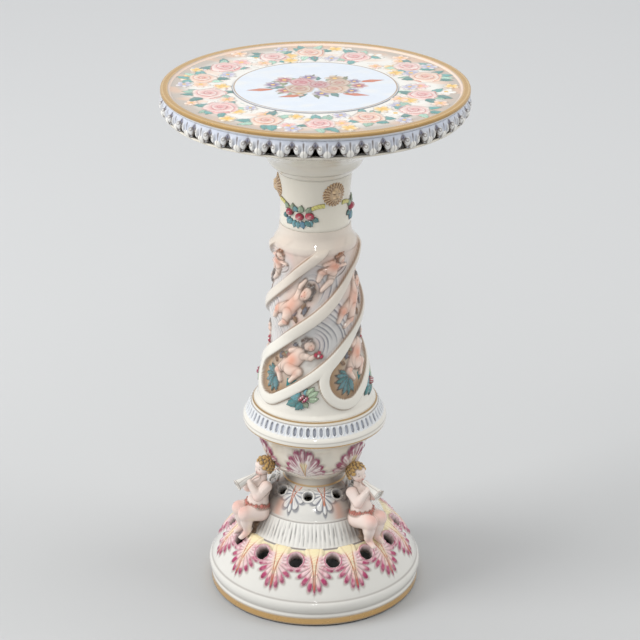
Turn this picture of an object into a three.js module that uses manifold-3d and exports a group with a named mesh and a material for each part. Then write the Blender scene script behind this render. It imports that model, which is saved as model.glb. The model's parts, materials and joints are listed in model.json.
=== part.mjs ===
// Painted porcelain pedestal with a round top, a spiral-panelled column and a pierced domed foot.
// Units are millimetres, +Z is up, and the front faces -Y. The castings stack on one steel tie rod.
import * as THREE from "three";
import { mergeVertices } from "three/addons/utils/BufferGeometryUtils.js";
import { ConvexGeometry } from "three/addons/geometries/ConvexGeometry.js";
import Module from "manifold-3d";

const wasm = await Module();
wasm.setup();

// Driving dimensions
const castingWall = 8;
const webThickness = 8;
const rodHoleRadius = 5.5;
const touchGap = 0.35;
const roundFacets = 36;

const felt = { thickness: 1.5, innerRadius: 128, setBack: 2 };
const base = {
  height: 94.5,
  footRadius: 151,
  plinthHeight: 19.5,
  beadHeight: 18.5,
  beadProud: 3,
  domeRadius: 148,
  domeFullness: 7.5,
  topRadius: 105,
  leafCount: 14,
  leafRelief: 3,
  leafTipHeight: 46,
  facetsPerLeaf: 4,
  holeRadius: 9,
  holeHeight: 84,
  holeTilt: 45,
};
const footCap = {
  height: 70,
  skirtHeight: 32.5,
  skirtTopRadius: 82,
  skirtHollow: 2.5,
  ledge: 2.5,
  domeFullness: 5,
  holeCount: 9,
  holeRadius: 5.5,
  holeHeight: 65.5,
  holeTilt: 52,
  holeTurn: -8.5,
  leafRelief: 3,
  leafHalfAngle: 17,
  facetsPerHole: 4,
};
const spool = { height: 16, radius: 46.5, waistRadius: 44.5, boreRadius: 32 };
const bowl = {
  height: 71,
  shoulderRadius: 68,
  shoulderHeight: 24,
  flareRadius: 77,
  flareHeight: 51,
  rimRadius: 90,
  leafCount: 6,
  leafTurn: -12,
  leafRelief: 8,
  leafHalfAngle: 17,
  leafBottom: 14,
  facetsPerLeaf: 6,
};
const collar = {
  height: 38,
  beadRadius: 102.5,
  beadHeight: 17,
  undercut: 7,
  ovalHeight: 15,
  boreRadius: 72,
};
const column = {
  height: 266,
  footRadius: 86,
  waistRadius: 64.5,
  waistHeight: 109,
  swellRadius: 67.5,
  swellHeight: 137,
  upperWaistRadius: 58,
  upperWaistHeight: 204,
  crownRadius: 61.5,
  crownHeight: 232,
  throatRadius: 51,
  throatHeight: 256,
  panelCount: 4,
  panelTurn: 35,
  panelStart: 51,
  panelEnd: 232,
  turnPerMm: 1.05,
  panelHalfWidth: 25,
  strapWidth: 15,
  panelDepth: 3,
  footDepth: 2.5,
  facetsPerPanel: 8,
};
const spray = { turn: -14, height: 31, halfAngle: 17, rise: 24, halfWidth: 10, relief: 5 };
const neck = { height: 75, radius: 49, waistRadius: 48, topRadius: 51, wall: 9 };
const mask = { count: 3, turn: 32, height: 53, halfAngle: 19, halfHeight: 16, relief: 9 };
const garland = { height: 38, sag: 17, halfWidth: 6.5, relief: 5.5, endGap: 5 };
const saucer = {
  height: 87,
  footRadius: 52,
  stepRadius: 64,
  stepHeight: 13,
  bellyRadius: 80,
  bellyHeight: 32,
  rimRadius: 203,
  rimThickness: 2.5,
};
const gallery = { height: 22, leafCount: 44, proud: 10, sheet: 5, notchHeight: 16 };
const top = {
  thickness: 9,
  edgeProud: 4,
  rimWidth: 11,
  reliefDepth: 2.5,
  medallionRadius: 109,
  medallionDepth: 1.5,
};
const rod = { radius: 4, tail: 16, engagement: 14 };
const nut = { acrossFlats: 13, height: 6.5, clearance: 0.2 };
const washer = { steelRadius: 16, steelThickness: 2, rubberRadius: 20, rubberThickness: 2.5 };
const insert = { flangeRadius: 40, flangeThickness: 4, bossRadius: 9, bossLength: 18 };

// The cherubs sit round the foot. Their points are radius, sideways and height above the base's top.
const cherubTurns = [-64, 48, 172];
const cherub = {
  headRadius: 12.5,
  head: [79.5, 0, 98],
  chest: [84, 0, 66],
  chestRadius: 13,
  hips: [86, 0, 32],
  hipRadius: 14.5,
  shoulder: [82, 13, 74],
  elbow: [103, 15, 64],
  hand: [106, 4.5, 81],
  armRadius: 5,
  thigh: [92, 8, 32],
  thighRadius: 8,
  knee: [118, 9, 37],
  kneeRadius: 6.5,
  ankle: [112, 8, 4],
  ankleRadius: 4.5,
  toe: [121, 8, -3],
  toeRadius: 3.6,
  rock: [88, 0, 10],
  rockRadius: 16,
};
const horn = { mouth: [93, 0, 89], bell: [124, 0, 77], mouthRadius: 2, bellRadius: 7, wall: 1.6 };

// Levels, each the underside of one casting
const level = {};
level.base = felt.thickness;
level.footCap = level.base + base.height;
level.spool = level.footCap + footCap.height;
level.bowl = level.spool + spool.height;
level.collar = level.bowl + bowl.height;
level.column = level.collar + collar.height;
level.neck = level.column + column.height;
level.saucer = level.neck + neck.height;
level.gallery = level.saucer + saucer.height;
level.top = level.gallery + gallery.height;

const glaze = new THREE.MeshStandardMaterial({ color: 0xe9e5da, roughness: 0.16 });
const leafGlaze = new THREE.MeshStandardMaterial({ color: 0xd9d3dc, roughness: 0.2 });
const bloomGlaze = new THREE.MeshStandardMaterial({ color: 0xb9878c, roughness: 0.22 });
const skinGlaze = new THREE.MeshStandardMaterial({ color: 0xecc9b8, roughness: 0.2 });
const goldGlaze = new THREE.MeshStandardMaterial({ color: 0xc9a15a, roughness: 0.3, metalness: 0.6 });
const steel = new THREE.MeshStandardMaterial({ color: 0xa8abae, roughness: 0.35, metalness: 1 });
const brass = new THREE.MeshStandardMaterial({ color: 0xb5923e, roughness: 0.35, metalness: 1 });
const rubber = new THREE.MeshStandardMaterial({ color: 0x232324, roughness: 0.8 });
const feltCloth = new THREE.MeshStandardMaterial({ color: 0x3c3a37, roughness: 0.95 });

const group = new THREE.Group();
const radians = THREE.MathUtils.degToRad;

// Adds one named mesh at a height above the floor and a turn about the axis.
function place(name, geometry, material, height = 0, turn = 0) {
  const mesh = new THREE.Mesh(geometry, material);
  mesh.name = name;
  mesh.position.z = height;
  mesh.rotation.z = radians(turn);
  group.add(mesh);
}

function toSolid(geometry) {
  const bare = geometry.clone();
  bare.deleteAttribute("normal");
  bare.deleteAttribute("uv");
  const merged = mergeVertices(bare, 1e-4);
  const vertProperties = merged.attributes.position.array;
  const triVerts = new Uint32Array(merged.index.array);
  return new wasm.Manifold(new wasm.Mesh({ numProp: 3, vertProperties, triVerts }));
}

function toGeometry(solid) {
  const mesh = solid.getMesh();
  const geometry = new THREE.BufferGeometry();
  geometry.setAttribute("position", new THREE.BufferAttribute(mesh.vertProperties, 3));
  geometry.setIndex(new THREE.BufferAttribute(mesh.triVerts, 1));
  geometry.computeVertexNormals();
  return geometry;
}

function points(...pairs) {
  return pairs.map(([radius, height]) => new THREE.Vector2(radius, height));
}

// A smooth curve through a few contour points.
function smooth(steps, ...pairs) {
  return new THREE.SplineCurve(points(...pairs)).getPoints(steps);
}

// A contour that climbs on the outside, moved inwards by the wall and kept between two heights.
function inset(contour, wall, lowest, highest) {
  return contour.map((point, i) => {
    const before = contour[Math.max(i - 1, 0)];
    const after = contour[Math.min(i + 1, contour.length - 1)];
    const along = after.clone().sub(before).normalize();
    const height = THREE.MathUtils.clamp(point.y + along.x * wall, lowest, highest);
    return new THREE.Vector2(point.x - along.y * wall, height);
  });
}

// Every few points of a list, with its last.
function everyFew(list, step) {
  return list.filter((point, i) => i % step === 0 || i === list.length - 1);
}

// The radius of a contour at a height.
function radiusAt(contour, height) {
  const above = contour.findIndex((point) => point.y >= height);
  if (above < 1) return contour.at(above).x;
  const low = contour[above - 1];
  const high = contour[above];
  return THREE.MathUtils.mapLinear(height, low.y, high.y, low.x, high.x);
}

// Turns a closed outline about the axis. twist(height) turns its facets, and
// bump(azimuth, height, radius) moves the first skinCount points' skin outwards.
function turned(outline, segments, bump = () => 0, skinCount = outline.length, twist = () => 0) {
  const closed = [...outline, outline[0].clone()];
  const geometry = new THREE.LatheGeometry(closed, segments).rotateX(Math.PI / 2);
  const position = geometry.attributes.position;
  for (let i = 0; i < position.count; i += 1) {
    const along = i % closed.length;
    const inside = along >= skinCount && along < closed.length - 1;
    const height = position.getZ(i);
    const radius = Math.hypot(position.getX(i), position.getY(i));
    const step = Math.floor(i / closed.length) % segments;
    const azimuth = (step * 360) / segments + twist(height);
    const moved = radius + (inside ? 0 : bump(azimuth, height, radius));
    position.setXY(i, moved * Math.sin(radians(azimuth)), -moved * Math.cos(radians(azimuth)));
  }
  return geometry;
}

// The space that a casting fills, a touch larger, to cut what is seated on it.
function cutter(contour, segments, bump, twist) {
  const grown = contour.map((point) => new THREE.Vector2(point.x + touchGap, point.y));
  const outline = [...grown, new THREE.Vector2(0, contour.at(-1).y), new THREE.Vector2(0, contour[0].y)];
  return toSolid(turned(outline, segments, bump, contour.length, twist));
}

// The angle from the nearest of several evenly spaced spots, in degrees.
function fromNearest(azimuth, count, first) {
  const step = 360 / count;
  return azimuth - first - step * Math.round((azimuth - first) / step);
}

// One hole drilled square to a sloping wall, its axis tilted up from level.
function drill(radius, height, azimuth, holeRadius, tilt, depth) {
  const bit = new THREE.CylinderGeometry(holeRadius, holeRadius, depth, 8);
  bit.rotateX(Math.PI / 2).rotateY(radians(90 - tilt)).translate(radius, 0, height);
  return toSolid(bit.rotateZ(radians(azimuth - 90)));
}

function drilled(geometry, count, first, bit) {
  let solid = toSolid(geometry);
  for (let i = 0; i < count; i += 1) solid = solid.subtract(bit(first + (360 / count) * i));
  return toGeometry(solid);
}

// Base: plinth, bead and dome, with a web across its top for the rod
const plinthTop = base.plinthHeight;
const beadTop = plinthTop + base.beadHeight;
const domeHeight = base.height - beadTop;
const baseContour = [
  ...points([base.footRadius, 0], [base.footRadius, plinthTop]),
  ...points(
    [base.footRadius + base.beadProud, plinthTop + base.beadHeight * 0.45],
    [base.footRadius + base.beadProud * 0.4, plinthTop + base.beadHeight * 0.85],
  ),
  ...smooth(
    4,
    [base.domeRadius, beadTop],
    [
      (base.domeRadius + base.topRadius) / 2 + base.domeFullness * 0.75,
      beadTop + domeHeight * 0.55,
    ],
    [base.topRadius + base.domeFullness, base.height - domeHeight * 0.12],
    [base.topRadius, base.height],
  ),
];
const domeStart = 4;

function baseBump(azimuth, height) {
  const reach = (height - base.leafTipHeight) / (base.height - base.leafTipHeight);
  if (reach < 0 || reach > 0.98) return 0;
  const halfAngle = 180 / base.leafCount;
  const width = halfAngle * Math.min(1, 0.35 + reach * 1.6);
  const offset = fromNearest(azimuth, base.leafCount, 0);
  return base.leafRelief * Math.max(0, 1 - (offset / width) ** 2);
}

function makeBase() {
  const webUnderside = base.height - webThickness;
  const inner = everyFew(inset(baseContour.slice(domeStart), castingWall, 0, webUnderside), 2);
  const outline = [
    ...baseContour,
    ...points([rodHoleRadius, base.height], [rodHoleRadius, webUnderside]),
    ...inner.reverse(),
    ...points([base.footRadius - castingWall, plinthTop], [base.footRadius - castingWall, 0]),
  ];
  const body = turned(outline, base.leafCount * base.facetsPerLeaf, baseBump, baseContour.length);
  const radius = radiusAt(baseContour, base.holeHeight);
  return drilled(body, base.leafCount, 180 / base.leafCount, (azimuth) =>
    drill(radius, base.holeHeight, azimuth, base.holeRadius, base.holeTilt, castingWall * 3.2),
  );
}

// Foot cap: a fluted skirt under a small pierced dome, closed by a web at the top
const capBottom = footCap.skirtHeight;
const capRise = footCap.height - capBottom;
const capSpan = footCap.skirtTopRadius - spool.radius;
const footCapContour = [
  ...smooth(
    2,
    [base.topRadius - 1, 0],
    [
      (base.topRadius + footCap.skirtTopRadius) / 2 - footCap.skirtHollow,
      capBottom * 0.5,
    ],
    [footCap.skirtTopRadius, capBottom],
  ),
  ...smooth(
    4,
    [footCap.skirtTopRadius - footCap.ledge, capBottom + footCap.ledge],
    [spool.radius + capSpan * 0.5 + footCap.domeFullness, capBottom + capRise * 0.55],
    [spool.radius + footCap.domeFullness, footCap.height - footCap.ledge],
    [spool.radius - 0.5, footCap.height],
  ),
];

function footCapBump(azimuth, height) {
  const reach = (height - capBottom) / capRise;
  if (reach < 0.2 || reach > 0.85) return 0;
  const offset = fromNearest(azimuth, footCap.holeCount, footCap.holeTurn + 180 / footCap.holeCount);
  return footCap.leafRelief * Math.max(0, 1 - (offset / footCap.leafHalfAngle) ** 2);
}

function makeFootCap() {
  const webUnderside = footCap.height - webThickness;
  const outline = [
    ...footCapContour,
    ...points([rodHoleRadius, footCap.height], [rodHoleRadius, webUnderside]),
    ...everyFew(inset(footCapContour, castingWall, 0, webUnderside), 2).reverse(),
  ];
  const body = turned(outline, footCap.holeCount * footCap.facetsPerHole, footCapBump, footCapContour.length);
  const radius = radiusAt(footCapContour, footCap.holeHeight);
  return drilled(body, footCap.holeCount, footCap.holeTurn, (azimuth) =>
    drill(radius, footCap.holeHeight, azimuth, footCap.holeRadius, footCap.holeTilt, castingWall * 3),
  );
}

function makeSpool() {
  const outline = points(
    [spool.boreRadius, 0],
    [spool.radius - 1, 0],
    [spool.waistRadius, 2.5],
    [spool.waistRadius, spool.height - 3.5],
    [spool.radius, spool.height],
    [spool.boreRadius, spool.height],
  );
  return turned(outline, roundFacets);
}

// Bowl: a cup with leaves standing off its wall
const bowlContour = smooth(
  7,
  [spool.radius, 0],
  [(spool.radius + bowl.shoulderRadius) / 2, bowl.shoulderHeight * 0.33],
  [bowl.shoulderRadius, bowl.shoulderHeight],
  [bowl.flareRadius, bowl.flareHeight],
  [bowl.rimRadius, bowl.height],
);

function bowlBump(azimuth, height) {
  const reach = (height - bowl.leafBottom) / (bowl.height - bowl.leafBottom);
  if (reach < 0 || reach > 0.97) return 0;
  const offset = fromNearest(azimuth, bowl.leafCount, bowl.leafTurn);
  const lift = bowl.leafRelief * Math.min(reach * 1.25, 1);
  return lift * Math.max(0, 1 - (offset / bowl.leafHalfAngle) ** 4);
}

function makeBowl() {
  const outline = [
    ...bowlContour,
    ...everyFew(inset(bowlContour, castingWall, webThickness, bowl.height), 2).reverse(),
    ...points([rodHoleRadius, webThickness], [rodHoleRadius, 0]),
  ];
  return turned(outline, bowl.leafCount * bowl.facetsPerLeaf, bowlBump, bowlContour.length);
}

function makeCollar() {
  const ovalTop = collar.beadHeight + collar.ovalHeight;
  const outline = points(
    [collar.boreRadius, 0],
    [collar.beadRadius - collar.undercut, 0],
    [collar.beadRadius - 1.5, 3],
    [collar.beadRadius, collar.beadHeight * 0.47],
    [collar.beadRadius - 1.5, collar.beadHeight * 0.82],
    [collar.beadRadius - 5.5, collar.beadHeight + 3],
    [column.footRadius + 4, ovalTop],
    [column.footRadius + 3, collar.height - 3],
    [column.footRadius, collar.height],
    [collar.boreRadius, collar.height],
  );
  return turned(outline, roundFacets);
}

// Column: a waisted tube wrapped by raised straps round sunken panels that climb to the right
const columnContour = smooth(
  17,
  [column.footRadius, 0],
  [(column.footRadius + column.waistRadius) / 2, column.waistHeight * 0.48],
  [column.waistRadius, column.waistHeight],
  [column.swellRadius, column.swellHeight],
  [column.upperWaistRadius, column.upperWaistHeight],
  [column.crownRadius, column.crownHeight],
  [column.throatRadius, column.throatHeight],
  [neck.radius, column.height],
);

// The distance in millimetres from the nearest panel's middle line, along the surface.
function fromPanel(azimuth, height, radius) {
  let nearest = Infinity;
  const pitch = Math.tan(Math.PI / 2 - Math.atan(radians(column.turnPerMm) * radius));
  const slope = Math.cos(Math.atan(pitch));
  for (let i = -2 * column.panelCount; i < column.panelCount; i += 1) {
    const across = azimuth - column.panelTurn - (360 / column.panelCount) * i;
    const sideways = radians(across) * radius;
    const up = height - column.panelStart;
    const distance =
      sideways + up * pitch < 0
        ? Math.hypot(sideways, up)
        : Math.abs(up - across / column.turnPerMm) * slope;
    nearest = Math.min(nearest, distance);
  }
  return nearest;
}

function columnBump(azimuth, height, radius) {
  if (height > column.panelEnd) return 0;
  const distance = fromPanel(azimuth, height, radius);
  if (distance < column.panelHalfWidth) return -column.panelDepth;
  if (distance < column.panelHalfWidth + column.strapWidth) return 0;
  return height < column.waistHeight && height > 3 ? -column.footDepth : 0;
}

// Turns the facets with the panels, so that the straps' edges follow them.
function columnTwist(height) {
  return column.panelTurn + (height - column.panelStart) * column.turnPerMm;
}

function makeColumn() {
  const inner = inset(columnContour, castingWall, 0, column.height);
  const outline = [...columnContour, ...everyFew(inner, 4).reverse()];
  const facets = column.panelCount * column.facetsPerPanel;
  return turned(outline, facets, columnBump, columnContour.length, columnTwist);
}

// A low relief bent round a casting. spot(u, v) gives its azimuth, height and how proud it stands.
function relief(contour, across, along, spot) {
  const vertices = [];
  const add = (lift, u, v) => {
    const [azimuth, height, proud] = spot(u, v);
    const radius = radiusAt(contour, height) + (lift ? Math.max(proud, 1) : -4);
    const angle = radians(azimuth);
    vertices.push(radius * Math.sin(angle), -radius * Math.cos(angle), height);
  };
  const count = (across + 1) * (along + 1);
  for (const lift of [true, false]) {
    for (let j = 0; j <= along; j += 1) {
      for (let i = 0; i <= across; i += 1) {
        add(lift, (2 * i) / across - 1, (2 * j) / along - 1);
      }
    }
  }
  const index = [];
  const quad = (a, b, c, d) => index.push(a, b, c, a, c, d);
  const at = (i, j) => j * (across + 1) + i;
  for (let j = 0; j < along; j += 1) {
    for (let i = 0; i < across; i += 1) {
      quad(at(i, j), at(i + 1, j), at(i + 1, j + 1), at(i, j + 1));
      quad(count + at(i, j + 1), count + at(i + 1, j + 1), count + at(i + 1, j), count + at(i, j));
    }
  }
  for (let i = 0; i < across; i += 1) {
    quad(count + at(i, 0), count + at(i + 1, 0), at(i + 1, 0), at(i, 0));
    quad(at(i, along), at(i + 1, along), count + at(i + 1, along), count + at(i, along));
  }
  for (let j = 0; j < along; j += 1) {
    quad(at(0, j), at(0, j + 1), count + at(0, j + 1), count + at(0, j));
    quad(count + at(across, j), count + at(across, j + 1), at(across, j + 1), at(across, j));
  }
  const geometry = new THREE.BufferGeometry();
  geometry.setAttribute("position", new THREE.Float32BufferAttribute(vertices, 3));
  geometry.setIndex(index);
  return geometry;
}

function seated(geometry, ...cutters) {
  const cut = cutters.reduce((solid, other) => solid.subtract(other), toSolid(geometry));
  const pieces = cut.decompose().sort((a, b) => b.volume() - a.volume());
  return toGeometry(pieces[0]);
}

// Leaf sprays fill the corners between the panels' rounded lower ends
function makeSprays() {
  const facets = column.panelCount * column.facetsPerPanel;
  const columnSpace = cutter(columnContour, facets, columnBump, columnTwist);
  for (let i = 0; i < column.panelCount; i += 1) {
    const turn = spray.turn + (360 / column.panelCount) * i;
    const leaf = relief(columnContour, 6, 2, (u, v) => [
      turn + spray.halfAngle * u,
      spray.height + (spray.rise * u) / 2 + spray.halfWidth * v * (1 - 0.75 * u * u),
      spray.relief * (1 - 0.7 * v * v) * (1 - 0.5 * u * u) - column.footDepth,
    ]);
    place(`leaf_spray_${i + 1}`, seated(leaf, columnSpace), leafGlaze, level.column);
  }
}

// Neck, with masks and the garlands that hang between them
const neckContour = smooth(
  4,
  [neck.radius, 0],
  [neck.waistRadius, neck.height * 0.35],
  [neck.waistRadius + 0.4, neck.height * 0.7],
  [neck.topRadius, neck.height],
);

function makeNeck() {
  const bore = neck.radius - neck.wall;
  const outline = [...neckContour, ...points([bore, neck.height], [bore, 0])];
  return turned(outline, roundFacets);
}

function makeNeckTrim() {
  const neckSpace = cutter(neckContour, roundFacets);
  const step = 360 / mask.count;
  const swing = step / 2 - mask.halfAngle * 0.62 - garland.endGap;
  for (let i = 0; i < mask.count; i += 1) {
    const face = relief(neckContour, 4, 4, (u, v) => {
      const round = Math.max(Math.abs(u), Math.abs(v)) / Math.max(Math.hypot(u, v), 0.01);
      const edge = Math.max(u * u, v * v);
      return [
        mask.turn + step * i + mask.halfAngle * u * round,
        mask.height + mask.halfHeight * v * round,
        mask.relief * (1 - 0.8 * edge),
      ];
    });
    place(`lion_mask_${i + 1}`, seated(face, neckSpace), goldGlaze, level.neck);
    const swag = relief(neckContour, 10, 2, (u, v) => [
      mask.turn - step / 2 + step * i + swing * u,
      garland.height - garland.sag * (1 - u * u) + garland.halfWidth * v * (1 - 0.7 * u * u),
      garland.relief * (1 - 0.6 * v * v) * (1 - 0.5 * u * u),
    ]);
    place(`garland_${i + 1}`, seated(swag, neckSpace), bloomGlaze, level.neck);
  }
}

// Saucer: a wide shallow dish that carries the top
const saucerContour = [
  ...points(
    [saucer.footRadius, 0],
    [saucer.footRadius + 6, saucer.stepHeight * 0.6],
    [saucer.stepRadius - 2, saucer.stepHeight * 0.75],
  ),
  ...smooth(
    6,
    [saucer.stepRadius, saucer.stepHeight],
    [saucer.bellyRadius, saucer.bellyHeight],
    [
      (saucer.bellyRadius + saucer.rimRadius) / 2,
      saucer.bellyHeight + (saucer.height - saucer.bellyHeight) * 0.6,
    ],
    [saucer.rimRadius, saucer.height - saucer.rimThickness],
  ),
  ...points([saucer.rimRadius, saucer.height]),
];

function makeSaucer() {
  const dish = saucerContour.slice(3, -1);
  const inner = inset(dish, castingWall, webThickness, saucer.height);
  const below = inner.filter((point) => point.y < saucer.height);
  const outline = [
    ...saucerContour,
    ...points([saucer.rimRadius - castingWall, saucer.height]),
    ...everyFew(below, 2).reverse(),
    ...points([rodHoleRadius, webThickness], [rodHoleRadius, 0]),
  ];
  return turned(outline, 42);
}

// Gallery: a ring of pointed leaves that hang from the top's edge to the saucer's rim
function makeGallery() {
  const outer = saucer.rimRadius;
  const outline = points(
    [outer - gallery.sheet, 0],
    [outer - 1, 0],
    [outer + gallery.proud, gallery.height * 0.45],
    [outer + 1.5, gallery.height],
    [outer - gallery.sheet, gallery.height],
  );
  const geometry = turned(outline, gallery.leafCount * 2);
  const position = geometry.attributes.position;
  for (let i = 0; i < position.count; i += 1) {
    const betweenLeaves = Math.floor(i / (outline.length + 1)) % 2 === 1;
    if (!betweenLeaves) continue;
    const x = position.getX(i);
    const y = position.getY(i);
    const radius = Math.hypot(x, y);
    const tucked = Math.min(radius, outer + (radius - outer) * 0.55) / radius;
    const share = position.getZ(i) / gallery.height;
    const lifted = gallery.notchHeight + (gallery.height - gallery.notchHeight) * share;
    position.setXYZ(i, x * tucked, y * tucked, lifted);
  }
  return geometry;
}

function makeTop() {
  const edge = saucer.rimRadius + top.edgeProud;
  const floor = top.thickness - top.reliefDepth;
  const disc = top.thickness - top.medallionDepth;
  const outline = points(
    [0, 0],
    [saucer.rimRadius, 0],
    [edge, top.thickness * 0.6],
    [edge, top.thickness],
    [edge - top.rimWidth, top.thickness],
    [edge - top.rimWidth - top.reliefDepth, floor],
    [top.medallionRadius + 2, floor],
    [top.medallionRadius, disc],
    [0, disc],
  );
  return new THREE.LatheGeometry(outline, 48).rotateX(Math.PI / 2);
}

// Tie rod and what it pulls on
function makeHardware() {
  const webUnderside = level.footCap - webThickness;
  const rubberBottom = webUnderside - washer.rubberThickness;
  const steelBottom = rubberBottom - washer.steelThickness;
  const nutBottom = steelBottom - nut.height;
  const rodBottom = webUnderside - rod.tail;
  const flangeBottom = level.top - insert.flangeThickness;
  const bossBottom = flangeBottom - insert.bossLength;
  const clearBore = rod.radius + nut.clearance;
  const rodTop = bossBottom + rod.engagement;
  const ring = (bore, radius, height) =>
    turned(points([bore, 0], [radius, 0], [radius, height], [bore, height]), 16);
  place("rubber_washer", ring(clearBore, washer.rubberRadius, washer.rubberThickness), rubber, rubberBottom);
  place("steel_washer", ring(clearBore, washer.steelRadius, washer.steelThickness), steel, steelBottom);

  const bar = new THREE.CylinderGeometry(rod.radius, rod.radius, rodTop - rodBottom, 14);
  bar.rotateX(Math.PI / 2).translate(0, 0, (rodTop - rodBottom) / 2);
  place("tie_rod", bar, steel, rodBottom);

  const hexagon = new THREE.CylinderGeometry(
    nut.acrossFlats / Math.sqrt(3),
    nut.acrossFlats / Math.sqrt(3),
    nut.height,
    6,
  );
  hexagon.rotateX(Math.PI / 2).translate(0, 0, nut.height / 2);
  const thread = new THREE.CylinderGeometry(clearBore, clearBore, nut.height * 3, 14);
  thread.rotateX(Math.PI / 2);
  place("tie_nut", toGeometry(toSolid(hexagon).subtract(toSolid(thread))), steel, nutBottom);

  const boss = points(
    [clearBore, 0],
    [insert.bossRadius, 0],
    [insert.bossRadius, insert.bossLength],
    [insert.flangeRadius, insert.bossLength],
    [insert.flangeRadius, insert.bossLength + insert.flangeThickness],
    [clearBore, insert.bossLength + insert.flangeThickness],
  );
  place("threaded_flange", turned(boss, 16), brass, bossBottom);
}

// Cherubs, each one moulding with its rock, with a horn in the hands
function ball(centre, radius, side = 1) {
  const geometry = new THREE.IcosahedronGeometry(radius, 1);
  return geometry.translate(centre[0], centre[1] * side, centre[2]);
}

// A limb is the smallest convex body round two balls.
function limb(from, to, fromRadius, toRadius, side = 1) {
  const corners = [];
  for (const [centre, radius] of [[from, fromRadius], [to, toRadius]]) {
    const knob = new THREE.IcosahedronGeometry(radius, 0);
    knob.translate(centre[0], centre[1] * side, centre[2]);
    const position = knob.attributes.position;
    for (let i = 0; i < position.count; i += 1) {
      corners.push(new THREE.Vector3().fromBufferAttribute(position, i));
    }
  }
  return new ConvexGeometry(corners);
}

// A horn along its axis. With a gap it is the solid space that the hands leave for it.
function makeHornGeometry(gap) {
  const from = new THREE.Vector3(...horn.mouth);
  const to = new THREE.Vector3(...horn.bell);
  const length = from.distanceTo(to);
  const outside = points(
    [0, -gap],
    [horn.mouthRadius + gap, -gap],
    [horn.mouthRadius + 0.6 + gap, length * 0.45],
    [horn.bellRadius * 0.6 + gap, length * 0.82],
    [horn.bellRadius + gap, length + gap],
  );
  const inside = gap
    ? points([0, length + gap])
    : points([horn.bellRadius - horn.wall, length], [0, length * 0.7]);
  const geometry = new THREE.LatheGeometry([...outside, ...inside], 8);
  const aim = new THREE.Quaternion().setFromUnitVectors(
    new THREE.Vector3(0, 1, 0),
    to.clone().sub(from).normalize(),
  );
  return geometry.applyQuaternion(aim).translate(from.x, from.y, from.z);
}

function makeCherubs() {
  const parts = [
    ball(cherub.head, cherub.headRadius),
    limb(cherub.hips, cherub.chest, cherub.hipRadius, cherub.chestRadius),
    limb(cherub.chest, cherub.head, cherub.chestRadius * 0.7, cherub.headRadius * 0.6),
    ball(cherub.rock, cherub.rockRadius),
  ];
  for (const side of [-1, 1]) {
    parts.push(
      limb(cherub.shoulder, cherub.elbow, cherub.armRadius * 1.15, cherub.armRadius, side),
      limb(cherub.elbow, cherub.hand, cherub.armRadius, cherub.armRadius * 0.9, side),
      limb(cherub.thigh, cherub.knee, cherub.thighRadius, cherub.kneeRadius, side),
      limb(cherub.knee, cherub.ankle, cherub.kneeRadius, cherub.ankleRadius, side),
      limb(cherub.ankle, cherub.toe, cherub.ankleRadius, cherub.toeRadius, side),
    );
  }
  const figure = parts.map(toSolid).reduce((whole, part) => whole.add(part));
  const clear = figure.subtract(toSolid(makeHornGeometry(touchGap)));
  const baseSpace = cutter(baseContour, base.leafCount * base.facetsPerLeaf, baseBump);
  const capSpace = cutter(footCapContour, footCap.holeCount * footCap.facetsPerHole, footCapBump);
  const bowlSpace = cutter(bowlContour, bowl.leafCount * bowl.facetsPerLeaf, bowlBump);
  cherubTurns.forEach((turn, i) => {
    const away = turn - 90;
    const turnedBack = (space, height) =>
      space.translate([0, 0, height - level.footCap]).rotate([0, 0, -away]);
    const seatedFigure = seated(
      toGeometry(clear),
      turnedBack(baseSpace, level.base + touchGap),
      turnedBack(capSpace, level.footCap + touchGap),
      turnedBack(bowlSpace, level.bowl),
    );
    place(`cherub_${i + 1}`, seatedFigure, skinGlaze, level.footCap, away);
    place(`horn_${i + 1}`, makeHornGeometry(0), leafGlaze, level.footCap, away);
  });
}

const feltOuter = base.footRadius - felt.setBack;
const feltOutline = points(
  [felt.innerRadius, 0],
  [feltOuter, 0],
  [feltOuter, felt.thickness],
  [felt.innerRadius, felt.thickness],
);
place("felt_ring", turned(feltOutline, roundFacets), feltCloth);
place("pierced_base", makeBase(), glaze, level.base);
place("foot_cap", makeFootCap(), glaze, level.footCap);
place("spool_collar", makeSpool(), glaze, level.spool);
place("leafed_bowl", makeBowl(), glaze, level.bowl);
place("oval_collar", makeCollar(), glaze, level.collar);
place("spiral_column", makeColumn(), glaze, level.column);
place("neck", makeNeck(), glaze, level.neck);
place("saucer", makeSaucer(), glaze, level.saucer);
// A gap between two leaves faces the front.
place("leaf_gallery", makeGallery(), leafGlaze, level.gallery, 180 / gallery.leafCount);
place("table_top", makeTop(), glaze, level.top);
makeSprays();
makeNeckTrim();
makeCherubs();
makeHardware();

export default group;
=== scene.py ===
"""Painted porcelain pedestal: the modelled relief, glaze and painting of its castings.

Sizes are millimetres, heights are above the floor, and angles are degrees round the axis from the
front (-Y) towards +X, unless a line says otherwise. Meshes get them in metres."""

import json

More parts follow.
